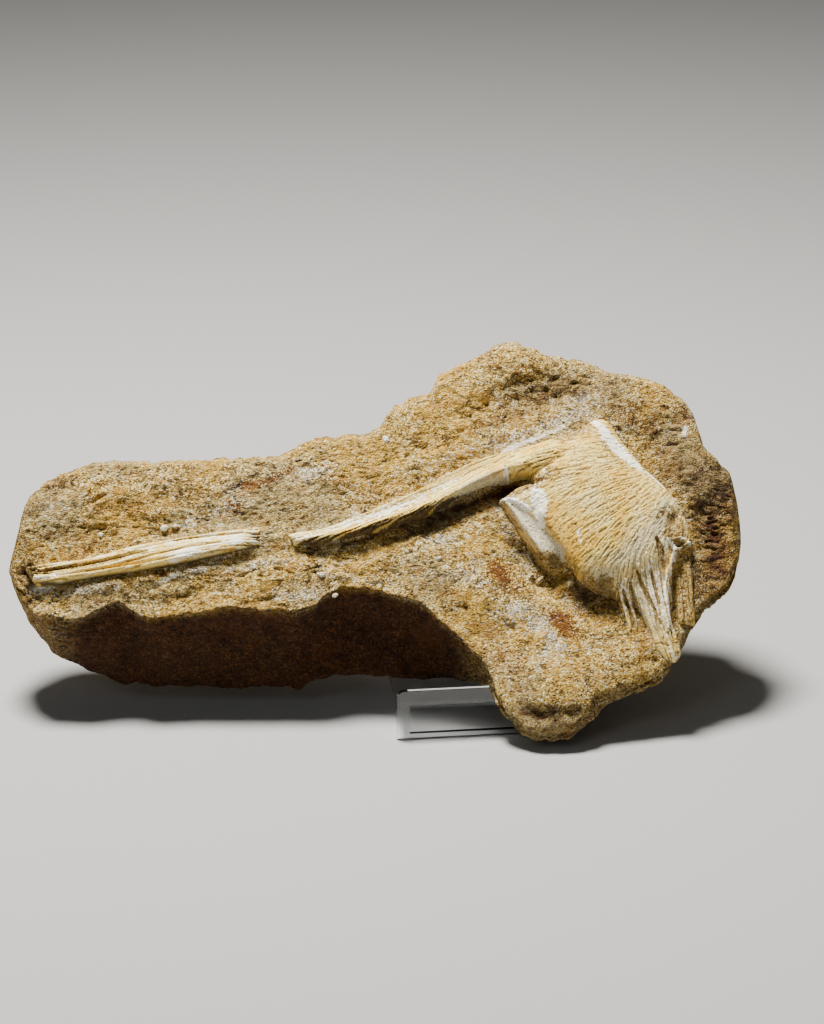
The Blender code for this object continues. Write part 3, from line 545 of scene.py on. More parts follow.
# Where the bone is chalky, gritty, grey or amber: centre u, v, half length, half width, turn, share
bonePaint = {
    "chalk": [
        (-24, 84.2, 14, 2.2, 17, 0.62), (-5, 90.4, 12, 2.4, 20, 0.66), (12, 98.8, 12, 2, 25, 0.5),
        (45, 97, 6, 3, 24, 0.52), (98.4, 32, 3, 2, 0, 0.4), (50.4, 101, 4, 2.4, 30, 0.4),
        (81, 54, 3, 8, 10, 0.56), (91, 56, 5, 13, 10, 0.54), (96.4, 50, 2.4, 14, 4, 0.55),
        (66, 123, 3, 1.2, 10, 0.4), (-42, 78, 5, 3, 10, 0.35), (70, 104, 20, 12, 0, 0.1),
    ],
    "grit": [
        (50, 118, 12, 2.2, 22, 0.75), (60.6, 119.2, 7.6, 4.2, 14, 1.3), (56, 100, 6, 5, -20, 0.35),
        (98, 78, 5, 3.4, 20, 0.7), (103.6, 70, 4, 5, 10, 1), (73, 58, 5, 3.6, -40, 0.9),
        (75, 109.6, 9, 1.6, -50, 0.55), (46, 98.8, 7, 3, 24, 0.6), (56, 66.4, 7, 3.6, -30, 1),
        (50.6, 67.6, 4, 3.4, -40, 1), (39, 95.6, 4, 1.6, 34, 0.7), (101.8, 60, 3.4, 9, 4, 0.75),
        (102.4, 49, 3, 7, 4, 0.45), (92, 85, 6, 5, 30, 0.42), (99.6, 85, 4, 6, 10, 0.55),
        (57.4, 83.3, 1.4, 0.9, 20, 0.6), (99.4, 37, 2, 5, 20, 0.5), (67, 58.6, 4, 2.4, -50, 0.8),
        (44.4, 71.6, 6, 1.6, -50, 0.8), (53, 70.6, 3, 1.6, -40, 0.6), (52.4, 106, 4, 2, 20, 0.35),
    ],
    "grey": [
        (95, 81, 7, 6, 30, 0.8), (86, 74, 6, 4, 40, 0.5), (72, 59, 6, 4, -40, 0.9),
        (98, 90, 5, 3, 60, 0.5), (24, 99, 12, 1.4, 26, 0.6), (95, 73, 3, 3, 0, 0.5),
        (78, 66, 8, 4, 40, 0.3), (89, 54, 9, 16, 5, 0.6),
    ],
    "amber": [
        (18, 101.5, 16, 2.6, 26, 0.55), (72, 98, 16, 8, -42, 0.3), (66, 114, 8, 4, 20, 0.3),
        (-30, 79.5, 12, 1.6, 12, 0.4), (84, 94, 9, 5, -40, 0.35), (105.4, 52, 1.6, 9, 4, 1),
        (30, 104, 6, 2, 26, 0.5), (52, 108, 8, 3, 14, 0.35),
    ],
}
# The same along drawn lines: share, soft edge, then the line (u, v, half width)
boneLines = {
    "chalk": [
        (1, 1.8, [(69, 124, 0.3), (71.8, 120.4, 0.7), (74.6, 115.6, 1.7), (77.4, 112, 1.9),
                  (80.8, 108.8, 1.3), (84.4, 105.6, 0.8), (86.6, 103.4, 0.1)]),
        (0.9, 0.8, [(89.6, 102.4, 0.1), (92.6, 100, 0.4), (95.8, 97, 0.1)]),
        (0.7, 1.2, [(34, 112.4, 0.1), (40, 114.6, 0.5), (47, 117, 0.4), (56, 120.4, 0.1)]),
        (1, 1, [(33.8, 93.4, 0.5), (35.8, 92.8, 0.8), (38.4, 91.8, 0.9), (41.4, 90.2, 0.9),
                (44, 88.4, 0.7)]),
        (0.85, 1.8, [(45.6, 96.4, 0.6), (47.6, 93, 2), (48.2, 89.6, 2.2), (48.6, 86.4, 1.6),
                     (48.8, 83.6, 0.8), (48.8, 81.4, 0.2)]),
        (0.9, 0.8, [(96.5, 75, 0.3), (98.7, 72.2, 0.5), (99.1, 71, 0.7), (98, 67, 0.4)]),
        (0.9, 0.8, [(104.9, 75.4, 0.3), (101.8, 73, 0.5), (99.1, 71, 0.7)]),
        (0.8, 0.8, [(96.5, 75, 0.2), (98.9, 75.6, 0.3), (101.4, 76.4, 0.4), (103, 76, 0.2)]),
        (0.8, 0.7, [(35.2, 104.8, 0.3), (35.8, 103, 0.8), (36.3, 101.4, 0.3)]),
        (0.6, 0.9, [(61.6, 80.4, 0.2), (62.6, 77, 0.4), (63.4, 73.4, 0.2)]),
        (0.6, 0.5, [(97.8, 66, 0.3), (96.2, 60, 0.3), (95.7, 52, 0.2)]),
    ],
    "grit": [
        (0.9, 1.3, [(33.4, 91.6, 0.3), (35.8, 86, 0.6), (38.2, 81.8, 0.8), (40.8, 77.4, 0.9),
                    (44, 73.6, 1.1), (47.2, 69.8, 1.4)]),
        (0.9, 0.5, [(79.4, 56.8, 0.1), (81, 52, 0.3), (82.4, 47.6, 0.4), (83.4, 43, 0.4)]),
        (0.9, 0.5, [(81.8, 59, 0.1), (83.4, 54, 0.4), (85, 48, 0.6), (86, 43, 0.6)]),
        (0.9, 0.5, [(77.6, 55, 0.2), (79, 50, 0.4), (80.4, 44, 0.5)]),
        (0.9, 0.8, [(92, 75.4, 0.5), (93.6, 70, 1.1), (94.7, 65.5, 0.5)]),
        (0.7, 0.6, [(84.4, 63, 0.2), (86, 59, 0.4), (88.1, 53.9, 0.5), (91, 48.8, 0.4),
                    (93, 43.6, 0.1)]),
        (0.7, 0.6, [(90, 62.1, 0.3), (91.2, 56.6, 0.4), (92.4, 51.6, 0.2)]),
        (0.9, 0.8, [(98.6, 66, 0.5), (98.4, 57, 0.4), (99, 49.4, 0.4), (100.2, 42.4, 0.3)]),
    ],
    "grey": [
        (0.75, 0.9, [(9, 90, 0.1), (19, 95, 0.5), (30, 100.6, 0.6), (36, 102.2, 0.1)]),
        (1, 0.9, [(36.4, 91.2, 0.3), (39.4, 88.4, 1.4), (43, 84.4, 2.2), (46.8, 80, 2.5),
                  (50.4, 75.4, 2.8), (54.4, 70.8, 2.8)]),
    ],
    "amber": [
        (0.6, 1, [(34.6, 91, 0.5), (36.6, 87, 0.9), (39.3, 82.6, 1.1), (42.8, 77.6, 1.1),
                  (46, 73.6, 1), (49.2, 69.8, 0.8)]),
        (0.9, 1.6, [(51.8, 88, 0.8), (52, 83, 1.7), (55.2, 77.4, 1.7), (58.6, 72.4, 1.5),
                    (62.4, 67.2, 1.4), (66, 62, 1.2), (68.6, 58.4, 0.8)]),
        (0.5, 1, [(105.2, 62, 0.6), (105.6, 50, 0.8), (105.4, 45, 0.5)]),
    ],
}


def chalkField(share, torn, fibre, edge):
    # chalk ends in torn patches and along the fibres
    byNoise, byFibre, start, soft = edge
    return np.clip((share + byNoise * torn + byFibre * fibre - start) / soft, 0, 1)


def boneFields(u, v, fibre, cupOnly):
    ragged = 0.5 + 0.5 * flatNoise(u, v, 2.2, 1.8, 3.0)
    torn = flatNoise(u, v, 1.3, 1.0, 17.0)
    shares = {}
    for name in bonePaint:
        share = mounds(bonePaint[name], u, v)
        for value, soft, line in boneLines[name]:
            share = np.maximum(share, value * stroke(line, u, v, soft))
        shares[name] = share
    # sand stays in the gaps between the strands of the fan
    fanShare = np.clip((70.0 - v) / 8.0, 0, 1) * np.clip((u - 74.0) / 4.0, 0, 1)
    shares["grit"] = shares["grit"] + 0.6 * fanShare * np.clip(-fibre - 0.1, 0, 1)
    # chalk hides the amber, and is torn only where there is some
    shares["amber"] = shares["amber"] * (1 - 0.8 * np.clip(shares["chalk"], 0, 1))
    torn = torn * np.clip(shares["chalk"] * 3.5, 0, 1)
    return {
        "chalk": chalkField(shares["chalk"], torn, fibre, boneBody["chalkEdge"]),
        "grit": np.clip(shares["grit"] * (0.5 + ragged), 0, 1),
        "grey": np.clip(np.maximum(shares["grey"], 0.2 * cupOnly) * (0.6 + 0.8 * ragged), 0, 1),
        "amber": np.clip(shares["amber"] * (0.6 + 0.8 * ragged), 0, 1),
        "fibre": 0.5 + 0.5 * fibre,
    }


def makeSpineTip():
    spec = boneTip
    canvas = makeCanvas(*spec["canvas"])
    u, v = canvas["u"], canvas["v"]
    spine = stripForm(canvas, spec["spine"], spec["crownShape"])
    base, height, fibre, inside = finishBone(canvas, [spine], spec, 23)

    # both ends break off in splinters
    ends = spec["splinters"]
    (left, overLeft), (right, overRight) = ends["left"], ends["right"]
    splinter = np.clip((left - u) / overLeft, 0, 1) + np.clip((u - right) / overRight, 0, 0.7)
    height -= (0.06 + splinter) * np.clip(0.35 - fibre, 0, 1.2) * ends["depth"] * inside
    height += 0.05 * flatNoise(u, v, 0.9, 0.7, 31.0) * inside

    ragged = 0.5 + 0.5 * flatNoise(u, v, 4.0, 1.6, 13.0)
    torn = flatNoise(u * 0.98 + v * 0.2, v * 0.98 - u * 0.2, 4.0, 0.8, 17.0)     # along the bone
    shares = {name: mounds(table, u, v) for name, table in spec["paint"].items()}
    # painted shade in the clefts between the fibres, strongest towards the left end
    groove = np.clip(-fibre - 0.62, 0, 1) * np.clip((-88.0 - u) / 20.0, 0.25, 1)
    sandy = shares["grit"] + 0.25 * np.clip(-fibre - 0.3, 0, 1)
    fields = {
        "chalk": chalkField(shares["chalk"], torn, fibre, spec["chalkEdge"]),
        "grit": np.clip(sandy * (0.5 + ragged), 0, 1),
        "grey": np.clip(shares["grey"] * (0.5 + ragged), 0, 1),
        "amber": np.clip(shares["amber"] * (0.5 + ragged), 0, 1),
        "fibre": 0.56 + 0.44 * fibre,
        # painted shade: in the clefts, and as a shadow line under the lower edge
        "shade": np.maximum(groove, stroke(spec["under"], u, v, 0.7)),
    }
    item = boneMesh("spine_tip_bone", canvas, height, spec, fields)
    print("spine_tip_bone:", len(item.data.polygons), "faces")
    return item, canvas, base


# The sandstone: tables along u of its outline and thickness
rock = {
    "topEdge": [
        (-154, 69.5), (-152.6, 76), (-150.4, 84.8), (-148.9, 95.5), (-146.5, 99.7), (-142, 103.9),
        (-135.2, 107.3), (-125.7, 111.2), (-114.7, 114.5), (-100.8, 113.4), (-86.9, 114),
        (-73.1, 114.4), (-59.3, 115.4), (-50.1, 115.9), (-43.2, 119.6), (-35.5, 122.4),
        (-25.8, 123.7), (-15.4, 124.9), (-11.6, 127.3), (-9.4, 133.1), (-6.2, 136), (0.8, 138.8),
        (7, 140.9), (10.1, 147.1), (19.4, 152.1), (26.4, 156.2), (33.5, 160.6), (38.9, 161.2),
        (45.9, 159.4), (52.1, 156.4), (63.4, 154.9), (73, 151.6), (79.9, 148.7), (89.2, 146.4),
        (96.1, 144.2), (103, 139.8), (108.4, 133.6), (110.2, 127.4), (111, 121.4), (113.9, 117),
        (118.5, 113.4), (123, 109), (124.6, 99.5), (125.6, 91.4), (126, 80.4),
    ],
    "frontFoot": [
        (-154, 69.5), (-152, 64), (-148, 56), (-141.2, 48.3), (-130.2, 45.8), (-122.7, 46.4),
        (-116.1, 50.8), (-110.8, 52.4), (-105.9, 50), (-101.2, 45.9), (-91.1, 46.9), (-77.2, 48.9),
        (-67.8, 50.8), (-54.2, 49.3), (-42.2, 49.3), (-37.7, 50.6), (-33.9, 54.4), (-27.2, 57.9),
        (-18.9, 58.3), (-8.7, 55.5), (3, 52.4), (10.2, 46.1), (18, 39.1), (26.2, 30.5), (29.9, 23),
        (32.5, 15.5), (35.5, 10.5), (40.3, 5.5), (45.8, 2.8), (52.2, 2.2), (58.9, 3.2), (64.5, 7.5),
        (70.2, 13.9), (77.1, 18.5), (85.3, 21.2), (92.9, 25), (97.6, 30.7), (102.5, 40),
        (106, 49.5), (111, 54.5), (116.4, 58), (120.8, 63.2), (124, 70.7), (126, 80.4),
    ],
    "lowEdge": [
        (-154, 69.5, -18), (-153, 65.5, -19), (-150.5, 59, -22), (-146.3, 52, -26),
        (-141.5, 46, -29), (-135, 41.3, -31), (-128.5, 37.9, -32), (-119.1, 34, -32),
        (-110.2, 30.6, -32), (-96, 30, -32), (-82.1, 28.8, -32), (-66, 28.4, -32),
        (-49.9, 29.6, -31), (-43, 28.6, -30), (-38.4, 31.8, -29), (-31.5, 33.6, -27),
        (-23.8, 33.4, -25), (-12, 31.4, -22.5), (0, 29.8, -21), (14.6, 28.6, -20), (22, 26.8, -17),
        (27.5, 23.5, -11), (30.5, 19, -5), (32.8, 12.6, -1), (35.5, 10.4, -3.4), (40.3, 5.4, -3.6),
        (45.8, 2.6, -3.8), (52.2, 1.9, -3.8), (58.9, 2.9, -4.2), (64.5, 7, -5), (70.2, 13.2, -6),
        (77.1, 17.4, -7), (85.3, 20, -7.5), (92.9, 23.8, -7.6), (97.6, 29.8, -7.8), (102, 38, -7.6),
        (106, 46.7, -6.5), (111, 53, -8), (116.4, 56.5, -9), (120.8, 61.7, -10), (123.8, 69.2, -12),
        (126, 80.4, -14),
    ],
    "heel": [
        (-154, 69.5, -19), (-141.5, 52, -33), (-119.1, 38, -35.5), (-66, 33, -36), (-38.4, 36, -33),
        (-20, 36.6, -29.5), (0, 36, -28.8), (24, 35.5, -27), (31, 27.5, -13), (36, 26, -10.5),
        (45, 26, -11), (49, 17, -16), (60, 15, -17), (77, 25, -20), (98, 37, -22), (111, 60, -22),
        (126, 80.4, -16),
    ],
    "undercut": [
        (-154, 69.5, -15), (-148, 56, -13), (-135, 40.5, -15), (-119, 38, -15), (-105, 41, -16),
        (-92, 37.5, -14.5), (-66, 40.5, -16.5), (-46, 40.5, -17.5), (-30, 49, -19), (-18, 49, -18),
        (0, 42.5, -15), (14.6, 36, -12.5), (26, 27.5, -7), (31, 18.6, -3.4), (36, 9.6, -1.9),
        (40.3, 5.1, -1.7), (45.8, 2.4, -1.6), (52, 1.7, -1.6), (58.9, 2.8, -1.8), (64.5, 7, -2.3),
        (70, 13.2, -3), (98, 30.2, -4.2), (111, 53.9, -5.2), (126, 80.4, -12),
    ],
    "frontDepth": [
        (-154, -13), (-152, -8), (-147, -3), (-140, -0.5), (-128, 0), (108, 0), (116, -1.5),
        (122, -4.5), (126, -11),
    ],
    "backDepth": [
        (-154, -23), (-152, -27), (-146, -32), (-135, -36), (-60, -37), (-22, -31.5), (-12, -30.2),
        (46, -35.6), (70, -38), (105, -35), (119, -29), (126, -19),
    ],
    # mounds and hollows of the face: centre u, v, half length, half width, turn, height
    "relief": [
        (50, 68, 17, 8, -50, -6.2), (70, 54, 12, 6, 5, -4.2), (36, 98, 8, 5, 20, -3.5),
        (10, 86, 30, 4.5, 24, -2.6), (-50, 73, 30, 4, 10, -0.8), (20, 113, 34, 5, 22, 1.4),
        (52, 138, 16, 8, 12, -2.8), (88, 132, 16, 9, -18, 2.2), (115, 79, 7, 15, 4, -3.2),
        (-100, 97, 42, 10, 2, 2), (-20, 108, 22, 9, 10, 1.2), (28, 145, 16, 8, 28, 2.4),
        (-95, 53, 48, 5, 2, -0.7), (10, 66, 30, 9, -30, 2.2), (52, 14, 20, 17, -10, 7),
        (84, 32, 12, 7, 30, 2.4), (-141, 60, 8, 11, -30, -3),
    ],
    # chips, slots and small ledges, too small for the solid
    "chips": [
        (20, 92.6, 20, 2.2, 25, -1.7), (37, 99.6, 7, 2.6, 20, -2), (-10, 82.6, 16, 1.8, 22, -1.2),
        (38, 79, 14, 3.2, -58, 1.7), (41.4, 77, 12, 1.8, -56, 1.6), (-148, 66, 3, 3, 0, -1.6),
        (-146, 54, 3, 4, 30, -1.4), (-119, 94, 3.6, 1, 32, -1.5), (-118, 92.4, 4, 1.2, 30, 0.8),
        (-62, 100, 5, 2.4, 20, -0.7), (-95, 80, 7, 2, 5, -0.8), (-120, 82, 12, 2.6, 4, -1),
        (-72, 106, 8, 3, 10, 0.6), (-20, 99, 9, 3, 20, -0.7), (6, 108, 6, 3, 20, -0.6),
        (28, 130, 12, 4, 15, -0.9), (60, 137, 10, 2.2, 8, -1.4), (44, 142, 8, 2.2, 14, -1.2),
        (86, 122, 7, 3, -40, -0.7), (104, 108, 5, 7, 10, 0.8), (112, 92, 4, 6, 10, -1.1),
        (-144, 63, 2.6, 2, 60, -1.8), (-40, 64, 12, 3, 8, 0.8), (-118, 59.8, 24, 2.2, 8, 1.3),
        (-84, 65.6, 20, 2, 11, 1.1), (-64, 70, 12, 1.6, 10, -0.6), (-58, 53.6, 9, 1, 14, -0.9),
        (-86, 56, 8, 0.9, 8, -0.8), (70.6, 14, 3.2, 2.4, 40, -3.6), (48, 8.6, 4, 2, -10, -1.6),
        (57, 9.6, 5, 1.4, 0, -1.2), (102.8, 136.4, 2, 2.6, -30, -1.6), (110.6, 126, 2, 3, 10, -1.8),
        (0, 72, 9, 3, 20, -0.6), (22, 72, 8, 4, -30, 0.7), (34, 50, 12, 4, -40, 0.6),
        (60, 40, 9, 3, 20, -0.7), (46, 60, 5, 3, -30, -0.8), (78, 40, 8, 3, 30, -0.7),
        (43, 9, 7, 3, -20, -1.6), (60, 8.5, 6, 2, 10, -1.6), (-12, 120, 9, 3, 10, 0.7),
        (96, 138, 6, 3, -20, 0.9),
    ],
    # zones with open pits along the bedding: centre u, v, half length, half width, turn, share
    "pitted": [
        (-148, 62, 6, 12, -20, 0.9), (100, 120, 12, 10, -50, 0.4), (-30, 66, 30, 6, 6, 0.4),
        (0, 110, 30, 8, 20, 0.3), (53, 138, 15, 8, 10, 1), (36, 128, 14, 6, 18, 0.6),
        (-122, 82, 18, 4, 4, 0.6), (16, 118, 18, 5, 20, 0.35), (-60, 62, 22, 5, 8, 0.45),
        (112, 84, 8, 14, 5, 0.7), (50, 8, 14, 6, 0, 0.8), (-140, 55, 10, 8, -30, 0.8),
        (60, 58, 14, 5, -30, 0.5), (20, 52, 14, 4, -40, 0.5),
    ],
    "ends": (-154.0, 126.0),
    "endFade": 8.0,            # the unevenness dies out over this length at both ends
    "stations": 0.86,          # spacing along the slab
    "ringSteps": [4, 14, 62, 62, 30, 9, 8, 8, 6, 10, 12, 6, 10, 17, 17],
    "solidSteps": [1, 1, 4, 4, 3, 2, 1, 2, 2, 2, 3, 2, 2, 2, 2],
    "lumps": [(7.0, 0.60), (3.4, 0.42), (1.9, 0.34)],   # size and height
    "jags": [(5.0, 1.1), (2.2, 1.3)],       # size and height of the nicks along its edges
    "grit": 0.07,              # single grains standing up
    "pits": 1.9,               # depth of the open pits
    "bank": 0.9,               # sand banked against the bone
    "seatGap": 0.8,            # the seat of a bone lies this far below its underside
    "steps": 0.9,              # broken steps, mostly away from the face
    # how much painted shade darkens the undercut, along u
    "undersideShadeAlongU": [(-150.0, 0.25), (-140.0, 0.5), (-122.0, 1.0), (12.0, 1.0), (30.0, 0.3)],
}

# Stain, rust and dust on the face, with painted shade in the stain table below the shaft and the
# tip, under the body and in the toe's notches: centre u, v, half length, half width, turn, share
rockPaint = {
    "dust": [
        (45.6, 45.6, 6, 4.6, -20, 0.95), (53.6, 38, 5, 2.6, -60, 0.9), (37.6, 50, 6, 3.6, 10, 0.75),
        (49.6, 32.6, 3, 4, 0, 0.5), (11, 78, 7, 2.6, 0, 0.8), (20, 62, 10, 3, -10, 0.45),
        (38, 118, 8, 2, 26, 0.55), (58, 126.6, 14, 2.2, 22, 0.95), (66, 136, 8, 3.4, 20, 0.6),
        (-92, 62.4, 6, 1, 30, 0.95), (-80, 65.8, 10, 1.2, 16, 0.8), (-58, 68, 16, 1.6, 10, 0.6),
        (-38, 105, 10, 3, 15, 0.75), (-67, 98.6, 3, 3, 14, 0.7), (-72, 90, 12, 3, 14, 0.45),
        (-133, 56.6, 8, 1.6, 6, 0.6), (-122, 58.4, 8, 1.8, 6, 0.7), (-40, 56, 12, 2.4, 0, 0.6),
        (20, 113, 16, 3, 24, 0.35), (32, 90, 3, 8, 20, 0.5), (108, 129, 2, 5, 10, 0.5),
        (-20, 62, 12, 2, -10, 0.5), (-85, 84, 6, 1.6, 10, 0.6), (42, 74, 3.6, 8, 36, 0.45),
        (62, 53.4, 5, 1.8, -20, 0.6), (24, 70, 3, 4, 10, 0.5), (75, 118, 2, 9, 36, 0.5),
        (-134, 92, 5, 1.4, 10, 0.4),
    ],
    "white": [
        (-139.5, 60.2, 4.8, 2.1, 6, 1.1), (38.6, 114.8, 4.6, 1.4, 24, 1),
        (46, 118, 5.4, 1.2, 22, 0.95), (55, 121.8, 5, 0.9, 20, 0.6), (-72, 84.4, 10, 0.8, 8, 0.35),
        (104.5, 121.6, 0.9, 3, 0, 0.9), (-91, 62.6, 5, 0.7, 28, 0.6), (60, 125, 6, 1, 30, 0.4),
    ],
    # stains, and painted shade below the shaft and tip, under the body and in the notches of the
    # toe
    "stainAndShade": [
        (20, 92.6, 20, 2.2, 25, 0.9), (37, 99.4, 6, 2.4, 20, 0.95), (-8, 82.6, 17, 1.6, 22, 0.7),
        (-30, 76, 14, 1.2, 12, 0.5), (-66, 71.6, 9, 0.9, 10, 0.6), (120, 96, 5, 10, 0, 0.55),
        (110, 106, 7, 8, -30, 0.4), (58, 62, 11, 4, -30, 0.5), (-149, 62, 5, 16, -20, 0.55),
        (-145.4, 67, 2.4, 2.4, 0, 0.9), (114, 82, 7, 14, 8, 0.9), (116, 66, 8, 7, 30, 0.6),
        (52, 139, 18, 6, 10, 0.6), (38, 78, 3.6, 12, 30, 0.3), (66, 57.4, 7, 3.6, -20, 0.6),
        (75.4, 59, 3.6, 4.4, 0, 0.9), (-145.6, 55.4, 2.6, 4, -30, 0.7),
        (-128, 80, 14, 3.4, 4, 0.55), (102, 102, 9, 14, 20, 0.4), (92, 118, 12, 12, -40, 0.42),
        (82, 134, 12, 8, -20, 0.28), (0, 81, 26, 2.4, 22, 0.45), (108, 58, 6, 5, 30, 0.45),
        (20, 50, 12, 4, -42, 0.4), (50, 9, 14, 4, 0, 0.35), (86.6, 40.7, 4, 6, 30, 0.35),
        (70.6, 14.4, 3.6, 2.4, 40, 1.5), (45.6, 8.8, 4, 1.6, -16, 0.9), (54, 5, 8, 1.4, 6, 0.5),
        (-86, 56, 8, 0.8, 8, 0.5), (-60, 53.4, 9, 0.9, 14, 0.6), (-104, 94, 20, 2.4, -6, 0.25),
        (36, 128, 16, 4, 20, 0.35), (53, 12, 22, 14, 0, 0.16),
    ],
    "rust": [
        (55.8, 46.6, 3.8, 3.4, 10, 1.9), (59.6, 41, 4.6, 3.4, -20, 0.8), (32, 65, 4, 4, -20, 1.4),
        (37, 60, 5, 3.4, -30, 0.6), (-63, 99.4, 4, 1.7, 10, 1.7), (-52, 102.6, 9, 1.6, 28, 0.9),
        (-67.5, 91, 2.4, 2.8, 20, 1.5), (108, 60, 6, 8, 30, 0.5), (118, 74, 5, 9, 0, 0.4),
        (105, 129, 3, 8, 20, 0.5), (-134, 101, 6, 3, 20, 0.4), (92, 34, 8, 6, 50, 0.25),
        (-93, 64.4, 10, 1, 8, 0.7), (-120, 74, 8, 2, 10, 0.35), (0, 40, 30, 5, -16, 0.5),
        (12, 118, 6, 4, 0, 0.25), (-108, 90, 14, 3, -4, 0.4), (66, 49, 6, 2, -10, 0.35),
        (38, 30, 8, 10, 30, 0.22), (-36, 58, 20, 3, 8, 0.25), (84, 128, 10, 8, -20, 0.22),
    ],
}

# Pebbles and loose flakes on the face: u, v, half sizes, turn, whiteness
pebbles = [
    (-94, 82.5, 1.5, 1.2, 0.9, 20, 1), (-118, 80, 1, 0.9, 0.6, 0, 0.9),
    (-10, 118, 1.5, 1.2, 0.7, -50, 1), (-34, 64, 1.4, 1, 0.8, 0, 0.8),
    (48.5, 63.2, 2.2, 1, 1, 50, 0.15), (45.1, 64.4, 1.4, 1, 0.8, 30, 0.1),
    (-90, 83.2, 1.4, 0.8, 0.6, 0, 0.3), (-29, 56, 1.2, 0.8, 0.7, 20, 0.6),
    (60, 62, 1.6, 1.1, 0.9, 60, 0.3), (10, 70, 1.2, 0.8, 0.6, 20, 0.7),
]


def solidRoughness(u, v, w):
    # the same broken-rock unevenness as the solid has
    large = noiseAt(u, v, w + 51.0, (24.0, 19.0, 17.0))
    ridge = 0.5 - np.abs(noiseAt(u, v, w, (15.0, 13.0, 12.0), 5.0))
    small = noiseAt(u, v, w, (8.0, 7.0, 7.5), 9.0)
    return 2.6 * large + 2.4 * (ridge - 0.3) + 1.5 * small


def sectionCorners(u):
    # corners of the slab's section, each v, w and how much it belongs to the face
    def read(table, column=1):
        table = np.array(rock[table])
        return np.interp(u, table[:, 0], table[:, column])

    def jags(shift):
        return sum(height * noiseAt(u, 0 * u, 0 * u, (size, 1, 1), shift)
                   for size, height in rock["jags"])

    top, foot = read("topEdge") + jags(3.3), read("frontFoot") + jags(8.7)
    front, back = read("frontDepth"), read("backDepth")
    heelV, heelW = read("heel"), read("heel", 2)
    tall = top - foot
    edge = np.minimum(5.0, tall * 0.22)
    topW = np.minimum(front - 2.0, -8.0 + 0.3 * (front + back))
    topW = np.maximum(topW, back + 0.45 * (front - back))
    flat = np.zeros_like(u)
    return [
        (foot, front - 1.6, flat + 0.4),
        (foot + edge * 0.6, front - 0.2, flat + 0.8),
        (foot + tall * 0.18, front, flat + 1.0),
        (foot + tall * 0.5, front, flat + 1.0),
        (top - tall * 0.18, front, flat + 1.0),
        (top - edge, front - 0.8, flat + 0.7),
        (top - edge * 0.3, front + 0.45 * (topW - front), flat + 0.2),
        (top, topW, flat),
        (top - edge * 0.4, back + 0.2 * (front - back), flat),
        (top - edge * 2.0, back + 0.8, flat),
        (heelV + 0.55 * (top - heelV), back, flat),
        (heelV + 0.12 * (top - heelV), back + 0.4, flat),
        (heelV, heelW, flat),
        (read("lowEdge"), read("lowEdge", 2), flat),
        (read("undercut"), read("undercut", 2), flat + 0.1),
    ]


def ringPoints(corners, steps):
    # Catmull-Rom ring through the corners; rows are stations, columns go round the ring
    corners = [np.stack(c, axis=-1) for c in corners]
    ring = []
    count = len(corners)
    for i, number in enumerate(steps):
        a, b = corners[i - 1], corners[i]
        c, d = corners[(i + 1) % count], corners[(i + 2) % count]
        for step in range(number):
            t = step / number
            ring.append(0.5 * (2 * b + (c - a) * t + (2 * a - 5 * b + 4 * c - d) * t * t
                               + (3 * b - a - 3 * c + d) * t ** 3))
    return np.stack(ring, axis=1)


def outwards(u, v, w):
    # unit normals of a ringed surface
    points = np.stack([u, v, w], axis=-1)
    along = np.gradient(points, axis=0)
    around = np.roll(points, -1, axis=1) - np.roll(points, 1, axis=1)
    normal = np.cross(around, along)
    normal /= np.linalg.norm(normal, axis=-1, keepdims=True) + 1e-9
    middle = points.mean(axis=1, keepdims=True)
    if np.sum(normal * (points - middle)) < 0:
        normal = -normal
    return normal


def pitDepth(u, v, w):
    # open pits, longer along the bedding: 0 on the land between, 1 at the bottom
    first = noiseAt(u, v, w, (3.4, 1.5, 1.5), 61.0)
    second = noiseAt(u, v, w, (1.8, 1.0, 1.0), 71.0)
    return np.clip(first * 1.5 + second * 0.7 - 0.12, 0, 1)


